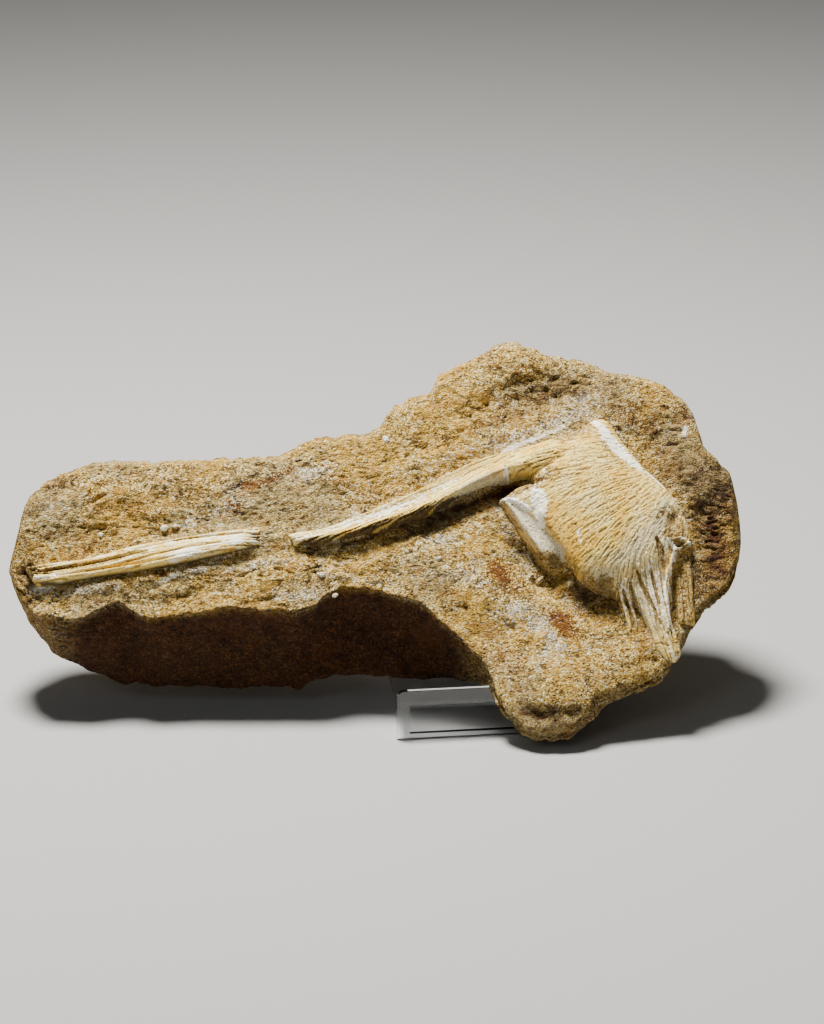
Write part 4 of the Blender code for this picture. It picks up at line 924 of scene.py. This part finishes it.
def slabSurface(bones):
    # the slab's rings in its own frame, how much each point belongs to the face, and how
    # near it is to a bone
    spec = rock
    ends = [-153.9, -153.6, -153.2, -152.7, -152.1, -151.4]
    u = np.concatenate([ends, np.arange(-150.6, 124.6, spec["stations"]),
                        [124.7, 125.2, 125.6, 125.85]])
    corners = sectionCorners(u)
    fine = ringPoints(corners, spec["ringSteps"])
    solid = ringPoints(corners, spec["solidSteps"])
    for _ in range(2):      # soften the kinks of the tables along the slab
        fine[1:-1] = 0.25 * fine[:-2] + 0.5 * fine[1:-1] + 0.25 * fine[2:]
    v, w, share = fine[..., 0], fine[..., 1], np.clip(fine[..., 2], 0, 1)
    middleV = solid[..., 0].mean(axis=1)[:, None]
    middleW = solid[..., 1].mean(axis=1)[:, None]
    u = np.broadcast_to(u[:, None], v.shape).copy()
    left, right = spec["ends"]
    fade = np.clip(np.minimum(u - left, right - u) / spec["endFade"], 0, 1)
    outV, outW = v - middleV, (w - middleW) * 2.5
    reach = np.hypot(outV, outW) + 1e-9
    bump = solidRoughness(u, v, w) * fade * (1.0 - 0.62 * share)
    v, w = (v + outV / reach * bump * 0.5,
            w + outW / reach * bump + mounds(spec["relief"], u, v) * share * fade)
    print("rock: broad shape done")

    # chips, lumps and pits, along the surface's own normal
    normal = outwards(u, v, w)
    pitted = np.clip(mounds(spec["pitted"], u, v) * share + 0.35 * (1 - share), 0, 1)
    detail = mounds(spec["chips"], u, v) * share
    for k, (size, height) in enumerate(spec["lumps"]):
        detail += height * noiseAt(u, v, w, (size * 1.25, size, size), 20.0 + 7 * k)
    detail -= spec["pits"] * pitDepth(u, v, w) * (0.16 + pitted)
    detail += spec["grit"] * np.random.default_rng(5).standard_normal(u.shape)
    broken = noiseAt(u, v, w, (9.0, 6.0, 6.0), 83.0)
    detail += spec["steps"] * np.clip(np.abs(broken) - 0.12, 0, 0.3) * (1.3 - share)
    nearBone = np.zeros_like(u)
    for canvas, base, _ in bones:
        present = blur((base > -1.0).astype(float), 6.0)
        nearBone = np.maximum(nearBone, readMap(canvas, present, u, v))
    bankNoise = 0.6 + noiseAt(u, v, w, (5.0, 4.0, 4.0), 41.0)
    detail += spec["bank"] * nearBone * bankNoise * share
    u, v, w = (u + normal[..., 0] * detail * fade, v + normal[..., 1] * detail,
               w + normal[..., 2] * detail)

    # the seat of each bone lies below its underside
    for canvas, base, bone in bones:
        held = blur((base > -0.5).astype(float), 2.2)
        covered = (readMap(canvas, held, u, v) > 0.93) & (share > 0.5)
        w = np.where(covered, np.minimum(w, underside(bone, v) - spec["seatGap"]), w)

    return u, v, w, share, nearBone


def makeMatrix(bones):
    u, v, w, share, nearBone = slabSurface(bones)
    # quads round the rings, and a fan on a middle point at each end
    points = clearOfStand(placeSlab(u, v, w))
    rings, count = u.shape
    a = np.arange(rings - 1)[:, None] * count + np.arange(count)
    b = np.arange(rings - 1)[:, None] * count + (np.arange(count) + 1) % count
    faces = np.stack([a, b, b + count, a + count], axis=-1).reshape(-1, 4)
    flat = points.reshape(-1, 3)
    tips = [flat[:count].mean(axis=0), flat[-count:].mean(axis=0)]
    tips[0][0] -= 0.1 * mm
    tips[1][0] += 0.1 * mm
    first = len(flat)
    k = np.arange(count)
    fans = [(int((i + 1) % count), int(i), first) for i in k]
    last = (rings - 1) * count
    fans += [(int(last + i), int(last + (i + 1) % count), first + 1) for i in k]
    mesh = bpy.data.meshes.new("sandstone_slab")
    mesh.from_pydata(np.vstack([flat, tips]).tolist(), [], faces.tolist() + fans)
    fields = rockFields(u, v, w, share, nearBone)
    for name, values in fields.items():
        setField(mesh, name, np.concatenate([values.ravel(), [0.0, 0.0]]))
    item = addObject("sandstone_slab", mesh)
    addPebbles(item, (u, v, w, share))
    shape = bmesh.new()
    shape.from_mesh(mesh)
    bmesh.ops.recalc_face_normals(shape, faces=shape.faces)
    shape.to_mesh(mesh)
    shape.free()
    mesh.shade_smooth()
    print("sandstone_slab:", len(mesh.polygons), "faces")
    return item


def rockFields(u, v, w, share, nearBone):
    # dust, stain with painted shade, rust and white paint, each 0 to 1
    foot = np.interp(u, *np.array(rock["frontFoot"]).T)
    ragged = 0.5 + 0.6 * noiseAt(u, v, w, (3.6, 2.6, 2.6), 91.0)
    torn = 0.5 + 0.7 * noiseAt(u, v, w, (1.6, 1.3, 1.3), 95.0)
    front = np.clip(share * 1.9 - 0.55, 0, 1)
    broad = noiseAt(u, v, w, (22.0, 16.0, 16.0), 99.0)
    undersideShade = np.interp(u, *np.array(rock["undersideShadeAlongU"]).T)
    # painted shade on the undercut below the front foot
    under = (1 - front) * np.clip((foot + 5.0 - v) / 5.0, 0, 1) * undersideShade
    dust = mounds(rockPaint["dust"], u, v) + 0.4 * np.clip(nearBone, 0, 0.6)
    stainAndShade = mounds(rockPaint["stainAndShade"], u, v)
    rust = mounds(rockPaint["rust"], u, v)
    white = mounds(rockPaint["white"], u, v) * front
    return {
        "dust": np.clip((dust * (0.3 + ragged) * (0.5 + torn)) * front
                        + 0.3 * np.clip(broad - 0.25, 0, 1), 0, 1),
        # stains and painted shade from the table on the face, painted shade on the sides, back and
        # undercut, and random darker patches
        "stainAndShade": np.clip(stainAndShade * (0.5 + ragged) * front + 0.12 * (1 - front) + 0.98 * under
                         + 0.3 * np.clip(-broad - 0.2, 0, 1), 0, 1),
        "rust": np.clip(rust * (0.4 + ragged) * (0.5 + torn) * front
                        + 0.1 * (1 - front) * ragged, 0, 1),
        "white": np.clip((white + 0.9 * (torn - 0.5) * np.clip(white * 3 + 0.1, 0, 1)
                          - 0.35) / 0.3, 0, 1),
    }


def addPebbles(item, surface):
    # small stones half sunk in the face, joined into the slab's mesh
    u, v, w, share = surface
    front = share > 0.5
    shape = bmesh.new()
    shape.from_mesh(item.data)
    layer = shape.verts.layers.float["white"]
    for pu, pv, length, width, height, turn, whiteness in pebbles:
        near = np.argmin(np.where(front, (u - pu) ** 2 + (v - pv) ** 2, 1e9))
        level = w.ravel()[near]
        made = bmesh.ops.create_icosphere(shape, subdivisions=3, radius=1.0)["verts"]
        c, s = cos(radians(turn)), sin(radians(turn))
        for vertex in made:
            p = vertex.co.copy()
            p *= 1.0 + 0.25 * noise.noise(p * 1.3 + Vector((pu, pv, 0)))
            p.z = max(p.z, -0.6)
            lengthwise, crosswise = p.x * length, p.y * width
            at = placeSlab(np.float64(pu + lengthwise * c - crosswise * s),
                           np.float64(pv + lengthwise * s + crosswise * c),
                           np.float64(level + p.z * height + height * 0.3))
            vertex.co = Vector(at)
            vertex[layer] = whiteness
    shape.to_mesh(item.data)
    shape.free()


# The clear stand, in millimetres
stand = {
    "width": 50.0,
    "sheet": 2.0,
    "yaw": radians(7.0),
    "lipTop": 19.5,
    "lipCorner": 3.0,
    "ledgeTop": 14.5,
    "ledgeDepth": 36.0,
    "legWidth": 4.8,
    "footBar": 2.2,
    "backrestLength": 58.0,
    "backrestLean": radians(38.0),
    "rearFoot": 92.0,
    "bendRadius": 1.6,
    "fitGap": 0.3,      # between the stand and the rock
    "bevel": 0.28,
}


def clearOfStand(points):
    # keep the rock a hair off the lip, the ledge and the backrest
    s, c = sin(stand["yaw"]), cos(stand["yaw"])
    x, y, z = (points[..., i] / mm for i in range(3))
    across, deep = x * c + y * s, -x * s + y * c
    gap = stand["fitGap"]
    within = np.abs(across) < stand["width"] / 2 + gap
    lipBack = stand["sheet"] / 2 + gap
    lip = within & (np.abs(deep) < lipBack) & (z < stand["lipTop"] + gap)
    rise = stand["lipTop"] + gap - z
    toSide = lipBack - np.abs(deep)
    up = lip & (rise < toSide)
    z = np.where(up, stand["lipTop"] + gap, z)
    deep = np.where(lip & ~up, np.where(deep < 0, -lipBack, lipBack), deep)
    restY = stand["ledgeDepth"] - gap / cos(stand["backrestLean"])
    low = stand["ledgeTop"] + gap
    onLedge = within & (deep >= lipBack) & (deep < restY + 30) & (z < low)
    z = np.where(onLedge, low, z)
    t = tan(stand["backrestLean"])
    top = low + (stand["backrestLength"] + 3.0) * cos(stand["backrestLean"])
    past = (deep - restY) - (z - low) * t
    behind = within & (past > 0) & (z < top)
    deep = np.where(behind, deep - past, deep)
    x, y = across * c - deep * s, across * s + deep * c
    return np.stack([x, y, z], axis=-1) * mm


def roundedLine(corners, radius, steps):
    # outline with each inner corner turned on an arc
    line = [Vector(corners[0])]
    for before, here, after in zip(corners, corners[1:], corners[2:]):
        before, here, after = Vector(before), Vector(here), Vector(after)
        start = here + (before - here).normalized() * radius
        end = here + (after - here).normalized() * radius
        for step in range(steps + 1):
            t = step / steps
            line.append(start * (1 - t) ** 2 + here * 2 * t * (1 - t) + end * t * t)
    line.append(Vector(corners[-1]))
    return line


def sheetStrip(shape, line, thickness, half, toPoint):
    # bent strip of sheet: its middle line in (y, z), its width along x
    left, right = [], []
    for i, point in enumerate(line):
        before, after = line[max(i - 1, 0)], line[min(i + 1, len(line) - 1)]
        way = (after - before).normalized()
        side = Vector((-way.y, way.x)) * thickness / 2
        left.append(point + side)
        right.append(point - side)
    outline = left + right[::-1]
    prism(shape, outline, half, toPoint)


def prism(shape, outline, half, toPoint):
    # straight-sided solid on an outline, with the two flat ends as single faces
    near = [shape.verts.new(toPoint(-half, p[0], p[1])) for p in outline]
    far = [shape.verts.new(toPoint(half, p[0], p[1])) for p in outline]
    shape.faces.new(near)
    shape.faces.new(far[::-1])
    for i in range(len(outline)):
        k = (i + 1) % len(outline)
        shape.faces.new((near[k], near[i], far[i], far[k]))


def makeStand():
    spec = stand
    s, c = sin(spec["yaw"]), cos(spec["yaw"])

    def place(x, y, z):
        return Vector((x * c - y * s, x * s + y * c, z)) * mm

    half, sheet = spec["width"] / 2, spec["sheet"]
    shape = bmesh.new()

    # front plate with its window; the ledge is glued on behind it
    corner = spec["lipCorner"]
    outer = [(half, 0.0)]
    for centreX, turn in ((half - corner, 0), (corner - half, 90)):
        for step in range(9):
            angle = radians(turn + step * 90 / 8)
            outer.append((centreX + corner * cos(angle),
                          spec["lipTop"] - corner + corner * sin(angle)))
    outer.append((-half, 0.0))
    inX, lowZ, highZ = half - spec["legWidth"], spec["footBar"], spec["ledgeTop"] - sheet
    inner = [(inX, lowZ), (inX, highZ), (-inX, highZ), (-inX, lowZ)]
    rims = {}
    for face, y in (("front", -sheet / 2), ("back", sheet / 2)):
        loops = []
        for loop in (outer, inner):
            verts = [shape.verts.new(place(x, y, z)) for x, z in loop]
            edges = [shape.edges.new(pair) for pair in zip(verts, verts[1:] + verts[:1])]
            loops.append((verts, edges))
        bmesh.ops.triangle_fill(shape, use_beauty=True, use_dissolve=True,
                                edges=loops[0][1] + loops[1][1])
        rims[face] = loops
    for (frontVerts, _), (backVerts, _) in zip(rims["front"], rims["back"]):
        for i in range(len(frontVerts)):
            k = (i + 1) % len(frontVerts)
            shape.faces.new((frontVerts[i], frontVerts[k], backVerts[k], backVerts[i]))

    # one sheet, bent twice: ledge, backrest, rear leg
    lean = spec["backrestLean"]
    topY = spec["ledgeDepth"] + spec["backrestLength"] * sin(lean)
    topZ = spec["ledgeTop"] + spec["backrestLength"] * cos(lean)
    middle = spec["ledgeTop"] - sheet / 2
    corners = [
        (sheet / 2 + 0.04, middle), (spec["ledgeDepth"] + 0.4, middle),
        (topY + 2.0, topZ - 0.3), (spec["rearFoot"] + sheet / 2, 0.0),
    ]
    line = roundedLine(corners, spec["bendRadius"], 6)
    sheetStrip(shape, line, sheet, half - 0.4, place)
    for vertex in shape.verts:
        vertex.co.z = max(vertex.co.z, 0.0)
    bmesh.ops.remove_doubles(shape, verts=shape.verts, dist=1e-6)
    bmesh.ops.recalc_face_normals(shape, faces=shape.faces)
    mesh = bpy.data.meshes.new("acrylic_stand")
    shape.to_mesh(mesh)
    shape.free()
    item = addObject("acrylic_stand", mesh)
    edge = item.modifiers.new("polished edges", "BEVEL")
    edge.width = spec["bevel"] * mm
    edge.segments = 2
    edge.limit_method = "ANGLE"
    edge.angle_limit = radians(40)
    print("acrylic_stand:", len(mesh.polygons), "faces")
    return item


def fromScreen(r, g, b):
    # colour given as on a screen, 0 to 255, as linear light
    def line(x):
        x /= 255.0
        return x / 12.92 if x <= 0.04045 else ((x + 0.055) / 1.055) ** 2.4
    return (line(r), line(g), line(b), 1.0)


def put(tree, kind, values=None, **settings):
    node = tree.nodes.new(kind)
    for name, value in settings.items():
        setattr(node, name, value)
    for name, value in (values or {}).items():
        if isinstance(value, bpy.types.NodeSocket):
            tree.links.new(value, node.inputs[name])
        else:
            node.inputs[name].default_value = value
    return node


def blend(tree, share, first, second, mode="MIX"):
    return put(tree, "ShaderNodeMix", {0: share, 6: first, 7: second},
               data_type="RGBA", blend_type=mode).outputs[2]


def tint(tree, share, under, screenColour, mode="MIX"):
    return blend(tree, share, under, fromScreen(*screenColour), mode)


def sums(tree, operation, first, second, third=0.0):
    values = {0: first, 1: second}
    if operation == "MULTIPLY_ADD":
        values[2] = third
    return put(tree, "ShaderNodeMath", values, operation=operation).outputs[0]


def times(tree, first, second):
    return sums(tree, "MULTIPLY", first, second)


def stretch(tree, where, factors):
    return put(tree, "ShaderNodeVectorMath", {0: where, 1: factors},
               operation="MULTIPLY").outputs[0]


def remap(tree, value, low, high, toLow=0.0, toHigh=1.0):
    return put(tree, "ShaderNodeMapRange", {
        "Value": value, "From Min": low, "From Max": high, "To Min": toLow, "To Max": toHigh,
    }, clamp=True).outputs["Result"]


def ramp(tree, value, stops):
    node = put(tree, "ShaderNodeValToRGB", {"Fac": value})
    elements = node.color_ramp.elements
    while len(elements) < len(stops):
        elements.new(0.5)
    for element, (place, colour) in zip(elements, stops):
        element.position = place
        element.color = colour
    return node.outputs["Color"]


def cloud(tree, where, size, detail=2.0, rough=0.5):
    # smooth noise with lumps of the given size in millimetres, 0 to 1
    return put(tree, "ShaderNodeTexNoise", {
        "Vector": where, "Scale": 1000.0 / size, "Detail": detail, "Roughness": rough,
    }).outputs["Fac"]


def cells(tree, where, size):
    # distance from the middle of each cell, and three chances from 0 to 1 for each
    made = put(tree, "ShaderNodeTexVoronoi", {"Vector": where, "Scale": 1000.0 / size}).outputs
    chances = put(tree, "ShaderNodeSeparateColor", {"Color": made["Color"]}).outputs
    return made["Distance"], chances


def stored(tree, name):
    return put(tree, "ShaderNodeAttribute", attribute_name=name).outputs["Fac"]


def roughen(tree, shader, height, strength, distance):
    bump = put(tree, "ShaderNodeBump",
               {"Height": height, "Strength": strength, "Distance": distance})
    tree.links.new(bump.outputs["Normal"], shader.inputs["Normal"])


def startMaterial(name):
    material = bpy.data.materials.new(name)
    material.use_nodes = True
    tree = material.node_tree
    where = put(tree, "ShaderNodeTexCoord").outputs["Object"]
    return material, tree, tree.nodes["Principled BSDF"], where


sandLook = {
    "grain": 0.60,      # size of a sand grain, millimetres
    "fine": 0.38,
    "bend": 0.0004,     # pushes the grains out of their straight cells, metres
    "bedding": (0.5, 1.0, 1.0),     # pores drawn out along the slab
    "poreSize": 1.1,
    "poreDark": 0.8,
    "gapDark": 0.35,
    "colours": [        # share of the grains, colour
        (0.00, (52, 32, 10)), (0.14, (108, 76, 26)), (0.30, (170, 134, 58)), (0.52, (204, 170, 84)),
        (0.74, (228, 200, 118)), (0.88, (246, 232, 172)), (1.00, (255, 252, 234)),
    ],
    "streaks": (0.22, 1.0, 1.0),
    "noises": {         # size in millimetres, detail, roughness
        "broad": (26.0, 3.0, 0.5),
        "patch": (6.0, 4.0, 0.65),
        "streak": (2.8, 3.0, 0.65),
    },
    # noise, where a wash starts and where it is full, its most, colour and mode
    "washes": [
        ("broad", 0.52, 0.36, 0.55, (218, 172, 64), "MIX"),         # golden
        ("broad", 0.49, 0.64, 0.6, (172, 154, 106), "MIX"),         # grey
        ("patch", 0.52, 0.66, 0.6, (164, 118, 44), "MIX"),          # ochre
        ("patch", 0.44, 0.32, 0.65, (92, 58, 22), "MIX"),           # brown
        ("streak", 0.54, 0.70, 0.65, (190, 158, 112), "MULTIPLY"),  # bedding
    ],
    "ochre": (164, 118, 44),
    "dust": ((120, 104, 76), (252, 244, 218)),      # dark and light grains of it
    "rust": ((70, 38, 6), (140, 82, 12)),
    "mostGrains": 0.95,
    # colour of the stains and of the painted shade
    "stainAndShade": (92, 58, 22),
    "stainAndShadeShare": 0.98,
    # colour of the painted shade in the pores and of the gaps between grains
    "pore": (38, 22, 8),
    "white": (250, 244, 222),
    "bump": 0.9,
}


def grainColour(tree, where):
    # loose-looking sand: grains of several colours with dark gaps between them, and pores painted
    # in shade
    look = sandLook
    bend = put(tree, "ShaderNodeTexNoise", {"Vector": where, "Scale": 1300.0}).outputs["Color"]
    bend = stretch(tree, bend, (look["bend"],) * 3)
    bent = put(tree, "ShaderNodeVectorMath", {0: where, 1: bend}, operation="ADD").outputs[0]
    grain, chance = cells(tree, bent, look["grain"])
    fine, fineChance = cells(tree, bent, look["fine"])

    # which colour a grain takes, in clouds of lighter and darker sand
    pick = sums(tree, "MULTIPLY_ADD", fineChance[0], 0.35, times(tree, chance[0], 0.65))
    drift = sums(tree, "SUBTRACT", cloud(tree, where, 2.4, 3.0, 0.65), 0.5)
    pick = remap(tree, sums(tree, "MULTIPLY_ADD", drift, 0.9, pick), 0.10, 0.90)
    colour = ramp(tree, pick, [(place, fromScreen(*c)) for place, c in look["colours"]])

    # pores come in clusters, drawn out along the bedding; they are painted in shade
    cluster = remap(tree, cloud(tree, where, 7.0, 2.0, 0.6), 0.42, 0.62, 0.0, 0.10)
    drawn = stretch(tree, bent, look["bedding"])
    low = sums(tree, "SUBTRACT", cloud(tree, drawn, look["poreSize"], 2.0, 0.65), cluster)
    pore = remap(tree, low, 0.40, 0.30)
    gap = remap(tree, grain, 0.40, 0.80)
    dark = sums(tree, "MAXIMUM", times(tree, gap, look["gapDark"]),
                times(tree, pore, look["poreDark"]))

    rise = sums(tree, "SUBTRACT", 1.0, grain)
    for part, share in ((fine, -0.45), (chance[1], 0.5), (pore, -1.2)):
        rise = sums(tree, "MULTIPLY_ADD", part, share, rise)
    return {"colour": colour, "dark": dark, "rise": rise, "pick": pick,
            "dustChance": chance[2], "rustChance": fineChance[1]}


def grainShare(tree, share, chance, most):
    # grain by grain: the higher the share, the more of the grains are taken
    over = sums(tree, "SUBTRACT", times(tree, share, 1.15), chance)
    return remap(tree, over, -0.05, 0.10, 0.0, most)


def sandstoneMaterial():
    look = sandLook
    material, tree, shader, where = startMaterial("sandstone")
    sand = grainColour(tree, where)
    colour = sand["colour"]
    places = {"broad": where, "patch": where, "streak": stretch(tree, where, look["streaks"])}
    noises = {name: cloud(tree, places[name], *form) for name, form in look["noises"].items()}
    for name, start, full, most, wash, mode in look["washes"]:
        colour = tint(tree, remap(tree, noises[name], start, full, 0.0, most), colour, wash, mode)
    for name in ("rust", "dust"):
        darkGrain, lightGrain = (fromScreen(*c) for c in look[name])
        grains = blend(tree, sand["pick"], darkGrain, lightGrain)
        share = grainShare(tree, stored(tree, name), sand[name + "Chance"], look["mostGrains"])
        colour = blend(tree, share, colour, grains)
    # stains, with painted shade on the undercut, the sides and back, and below the bones
    stainedAndShaded = times(tree, stored(tree, "stainAndShade"), look["stainAndShadeShare"])
    colour = tint(tree, stainedAndShaded, colour, look["stainAndShade"], "MULTIPLY")
    # dark gaps between grains, and painted shade in the pores
    colour = tint(tree, sand["dark"], colour, look["pore"])
    colour = tint(tree, stored(tree, "white"), colour, look["white"])
    tree.links.new(colour, shader.inputs["Base Color"])

    height = sums(tree, "MULTIPLY_ADD", cloud(tree, where, 2.2, 3.0, 0.6), 1.6, sand["rise"])
    roughen(tree, shader, height, look["bump"], 0.0006)
    # the palest grains glint a little
    tree.links.new(remap(tree, sand["pick"], 0.86, 0.97, 0.95, 0.5), shader.inputs["Roughness"])
    shader.inputs["Specular IOR Level"].default_value = 0.3
    return material


boneLook = {
    "cream": (250, 233, 150),
    "yellow": (236, 192, 66),
    "mottle": (166, 126, 62),
    "mottleShare": 0.7,
    "amber": (224, 172, 58),
    "amberShare": 0.7,
    # painted shade in the grooves between the fibres
    "groove": (110, 72, 20),
    "grooveShare": 0.88,
    "grey": (202, 198, 176),
    "greyShare": 0.85,
    "chalk": (255, 251, 232),
    "speck": (50, 34, 20),
    "speckSize": 0.9,
    "gritGrey": (116, 102, 64),
    "gritGreyShare": 0.65,
    # colour of the painted shade
    "shade": (52, 34, 14),
    "shadeShare": 0.97,
    "bump": 0.8,
}


def boneMaterial():
    look = boneLook
    material, tree, shader, where = startMaterial("fossil bone")
    tone = remap(tree, cloud(tree, where, 9.0, 3.0, 0.6), 0.35, 0.65)
    colour = tint(tree, tone, fromScreen(*look["cream"]), look["yellow"])
    mottle = cloud(tree, where, 1.0, 2.0, 0.6)
    mottled = remap(tree, mottle, 0.50, 0.68, 0.0, look["mottleShare"])
    colour = tint(tree, mottled, colour, look["mottle"])
    amber = times(tree, stored(tree, "amber"), look["amberShare"])
    colour = tint(tree, amber, colour, look["amber"])
    # the grooves between the fibres darken to brown: painted shade in the creases
    groove = remap(tree, stored(tree, "fibre"), 0.47, 0.10, 0.0, look["grooveShare"])
    colour = tint(tree, groove, colour, look["groove"])
    colour = tint(tree, times(tree, stored(tree, "grey"), look["greyShare"]), colour, look["grey"])
    colour = tint(tree, stored(tree, "chalk"), colour, look["chalk"])

    # dark specks, thickest where the bone is grey or gritty
    dots, chance = cells(tree, where, look["speckSize"])
    seen = sums(tree, "ADD", stored(tree, "grey"), stored(tree, "grit"))
    dark = times(tree, remap(tree, dots, 0.42, 0.25), remap(tree, chance[0], 0.52, 0.62))
    dark = times(tree, dark, remap(tree, seen, 0.0, 0.8, 0.26, 0.8))
    colour = tint(tree, dark, colour, look["speck"])

    # sand that sticks to the bone
    sand = grainColour(tree, where)
    grains = tint(tree, 0.4, sand["colour"], sandLook["ochre"])
    # dark gaps between grains, and painted shade in the pores
    grains = tint(tree, sand["dark"], grains, sandLook["pore"])
    greyed = times(tree, stored(tree, "grey"), look["gritGreyShare"])
    grains = tint(tree, greyed, grains, look["gritGrey"])
    ragged = times(tree, cloud(tree, where, 1.8, 2.0, 0.7), 0.9)
    cover = remap(tree, sums(tree, "ADD", stored(tree, "grit"), ragged), 0.78, 0.98)
    colour = blend(tree, cover, colour, grains)
    # painted shade on the shaft's lower facet, the tip's clefts and lower edge, and the buried
    # walls
    shade = times(tree, stored(tree, "shade"), look["shadeShare"])
    colour = tint(tree, shade, colour, look["shade"])
    tree.links.new(colour, shader.inputs["Base Color"])

    height = sums(tree, "ADD", cloud(tree, where, 0.7, 2.0, 0.6), times(tree, sand["rise"], cover))
    roughen(tree, shader, height, look["bump"], 0.0005)
    tree.links.new(remap(tree, mottle, 0.3, 0.7, 0.62, 0.85), shader.inputs["Roughness"])
    shader.inputs["Specular IOR Level"].default_value = 0.35
    return material


acrylicLook = {
    "colours": ((0.93, 0.955, 0.96, 1.0), (0.97, 0.985, 0.985, 1.0)),
    "roughness": (0.01, 0.06),
    "scuffs": 0.02,
    "ior": 1.49,
}


def acrylicMaterial():
    look = acrylicLook
    material, tree, shader, where = startMaterial("clear acrylic")
    colour = blend(tree, cloud(tree, where, 30.0, 2.0), *look["colours"])
    tree.links.new(colour, shader.inputs["Base Color"])
    haze = cloud(tree, where, 4.0, 4.0, 0.7)
    tree.links.new(remap(tree, haze, 0.4, 0.75, *look["roughness"]), shader.inputs["Roughness"])
    roughen(tree, shader, haze, look["scuffs"], 0.0001)
    shader.inputs["Transmission Weight"].default_value = 1.0
    shader.inputs["IOR"].default_value = look["ior"]
    return material


vertebra, bodyCanvas, bodyBase = makeVertebra()
spineTip, tipCanvas, tipBase = makeSpineTip()
matrix = makeMatrix([(bodyCanvas, bodyBase, boneBody), (tipCanvas, tipBase, boneTip)])
display = makeStand()

boneFinish = boneMaterial()
for item, finish, node, slotName in (
        (matrix, sandstoneMaterial(), "matrix", "sandstone"),
        (vertebra, boneFinish, "vertebra", "fossil_bone"),
        (spineTip, boneFinish, "spine_tip", "fossil_bone"),
        (display, acrylicMaterial(), "display_stand", "clear_acrylic")):
    item.data.materials.append(finish)
    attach(item, "root")
    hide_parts(node)
print("pieces placed")


# Floor, lights and camera
studio = {
    "floorSize": 6.0,
    "floorColour": (0.34, 0.34, 0.338, 1.0),
    "sky": (0.95, 0.97, 1.0, 1.0),
    "skyStrength": 0.09,
    "lights": [         # name, place, aimed at, size, watts, colour
        ("key", (-0.22, 0.18, 1.10), (0.0, 0.04, 0.06), 0.32, 48.0, (1.0, 0.965, 0.90)),
        ("fill", (-0.7, -1.3, 1.2), (0.0, 0.04, 0.06), 0.9, 2.6, (1.0, 1.0, 1.0)),
    ],
    "cameraPlace": (-0.0191, -1.0880, 0.4856),
    "cameraTilt": radians(70.0),
    "lens": 111.0,      # millimetres, on a frame 36 wide
}


def makeStudio():
    shape = bmesh.new()
    bmesh.ops.create_grid(shape, x_segments=8, y_segments=8, size=studio["floorSize"] / 2)
    mesh = bpy.data.meshes.new("floor")
    shape.to_mesh(mesh)
    shape.free()
    floor = addObject("floor", mesh)
    material, _, shader, _ = startMaterial("plain floor")
    shader.inputs["Base Color"].default_value = studio["floorColour"]
    shader.inputs["Roughness"].default_value = 0.9
    mesh.materials.append(material)

    world = bpy.data.worlds.new("studio")
    world.use_nodes = True
    background = world.node_tree.nodes["Background"]
    background.inputs["Color"].default_value = studio["sky"]
    background.inputs["Strength"].default_value = studio["skyStrength"]
    bpy.context.scene.world = world
    for name, place, aim, size, watts, colour in studio["lights"]:
        light = bpy.data.lights.new(name, "AREA")
        light.shape = "DISK"
        light.size = size
        light.energy = watts
        light.color = colour
        lamp = addObject(name, light)
        lamp.location = place
        lamp.rotation_euler = (Vector(aim) - Vector(place)).to_track_quat("-Z", "Y").to_euler()

    camera = bpy.data.cameras.new("camera")
    camera.lens = studio["lens"]
    camera.sensor_width = 36.0
    camera.clip_end = 20.0
    viewer = addObject("camera", camera)
    viewer.location = studio["cameraPlace"]
    viewer.rotation_euler = (studio["cameraTilt"], 0.0, 0.0)
    bpy.context.scene.camera = viewer


makeStudio()
print("studio ready")
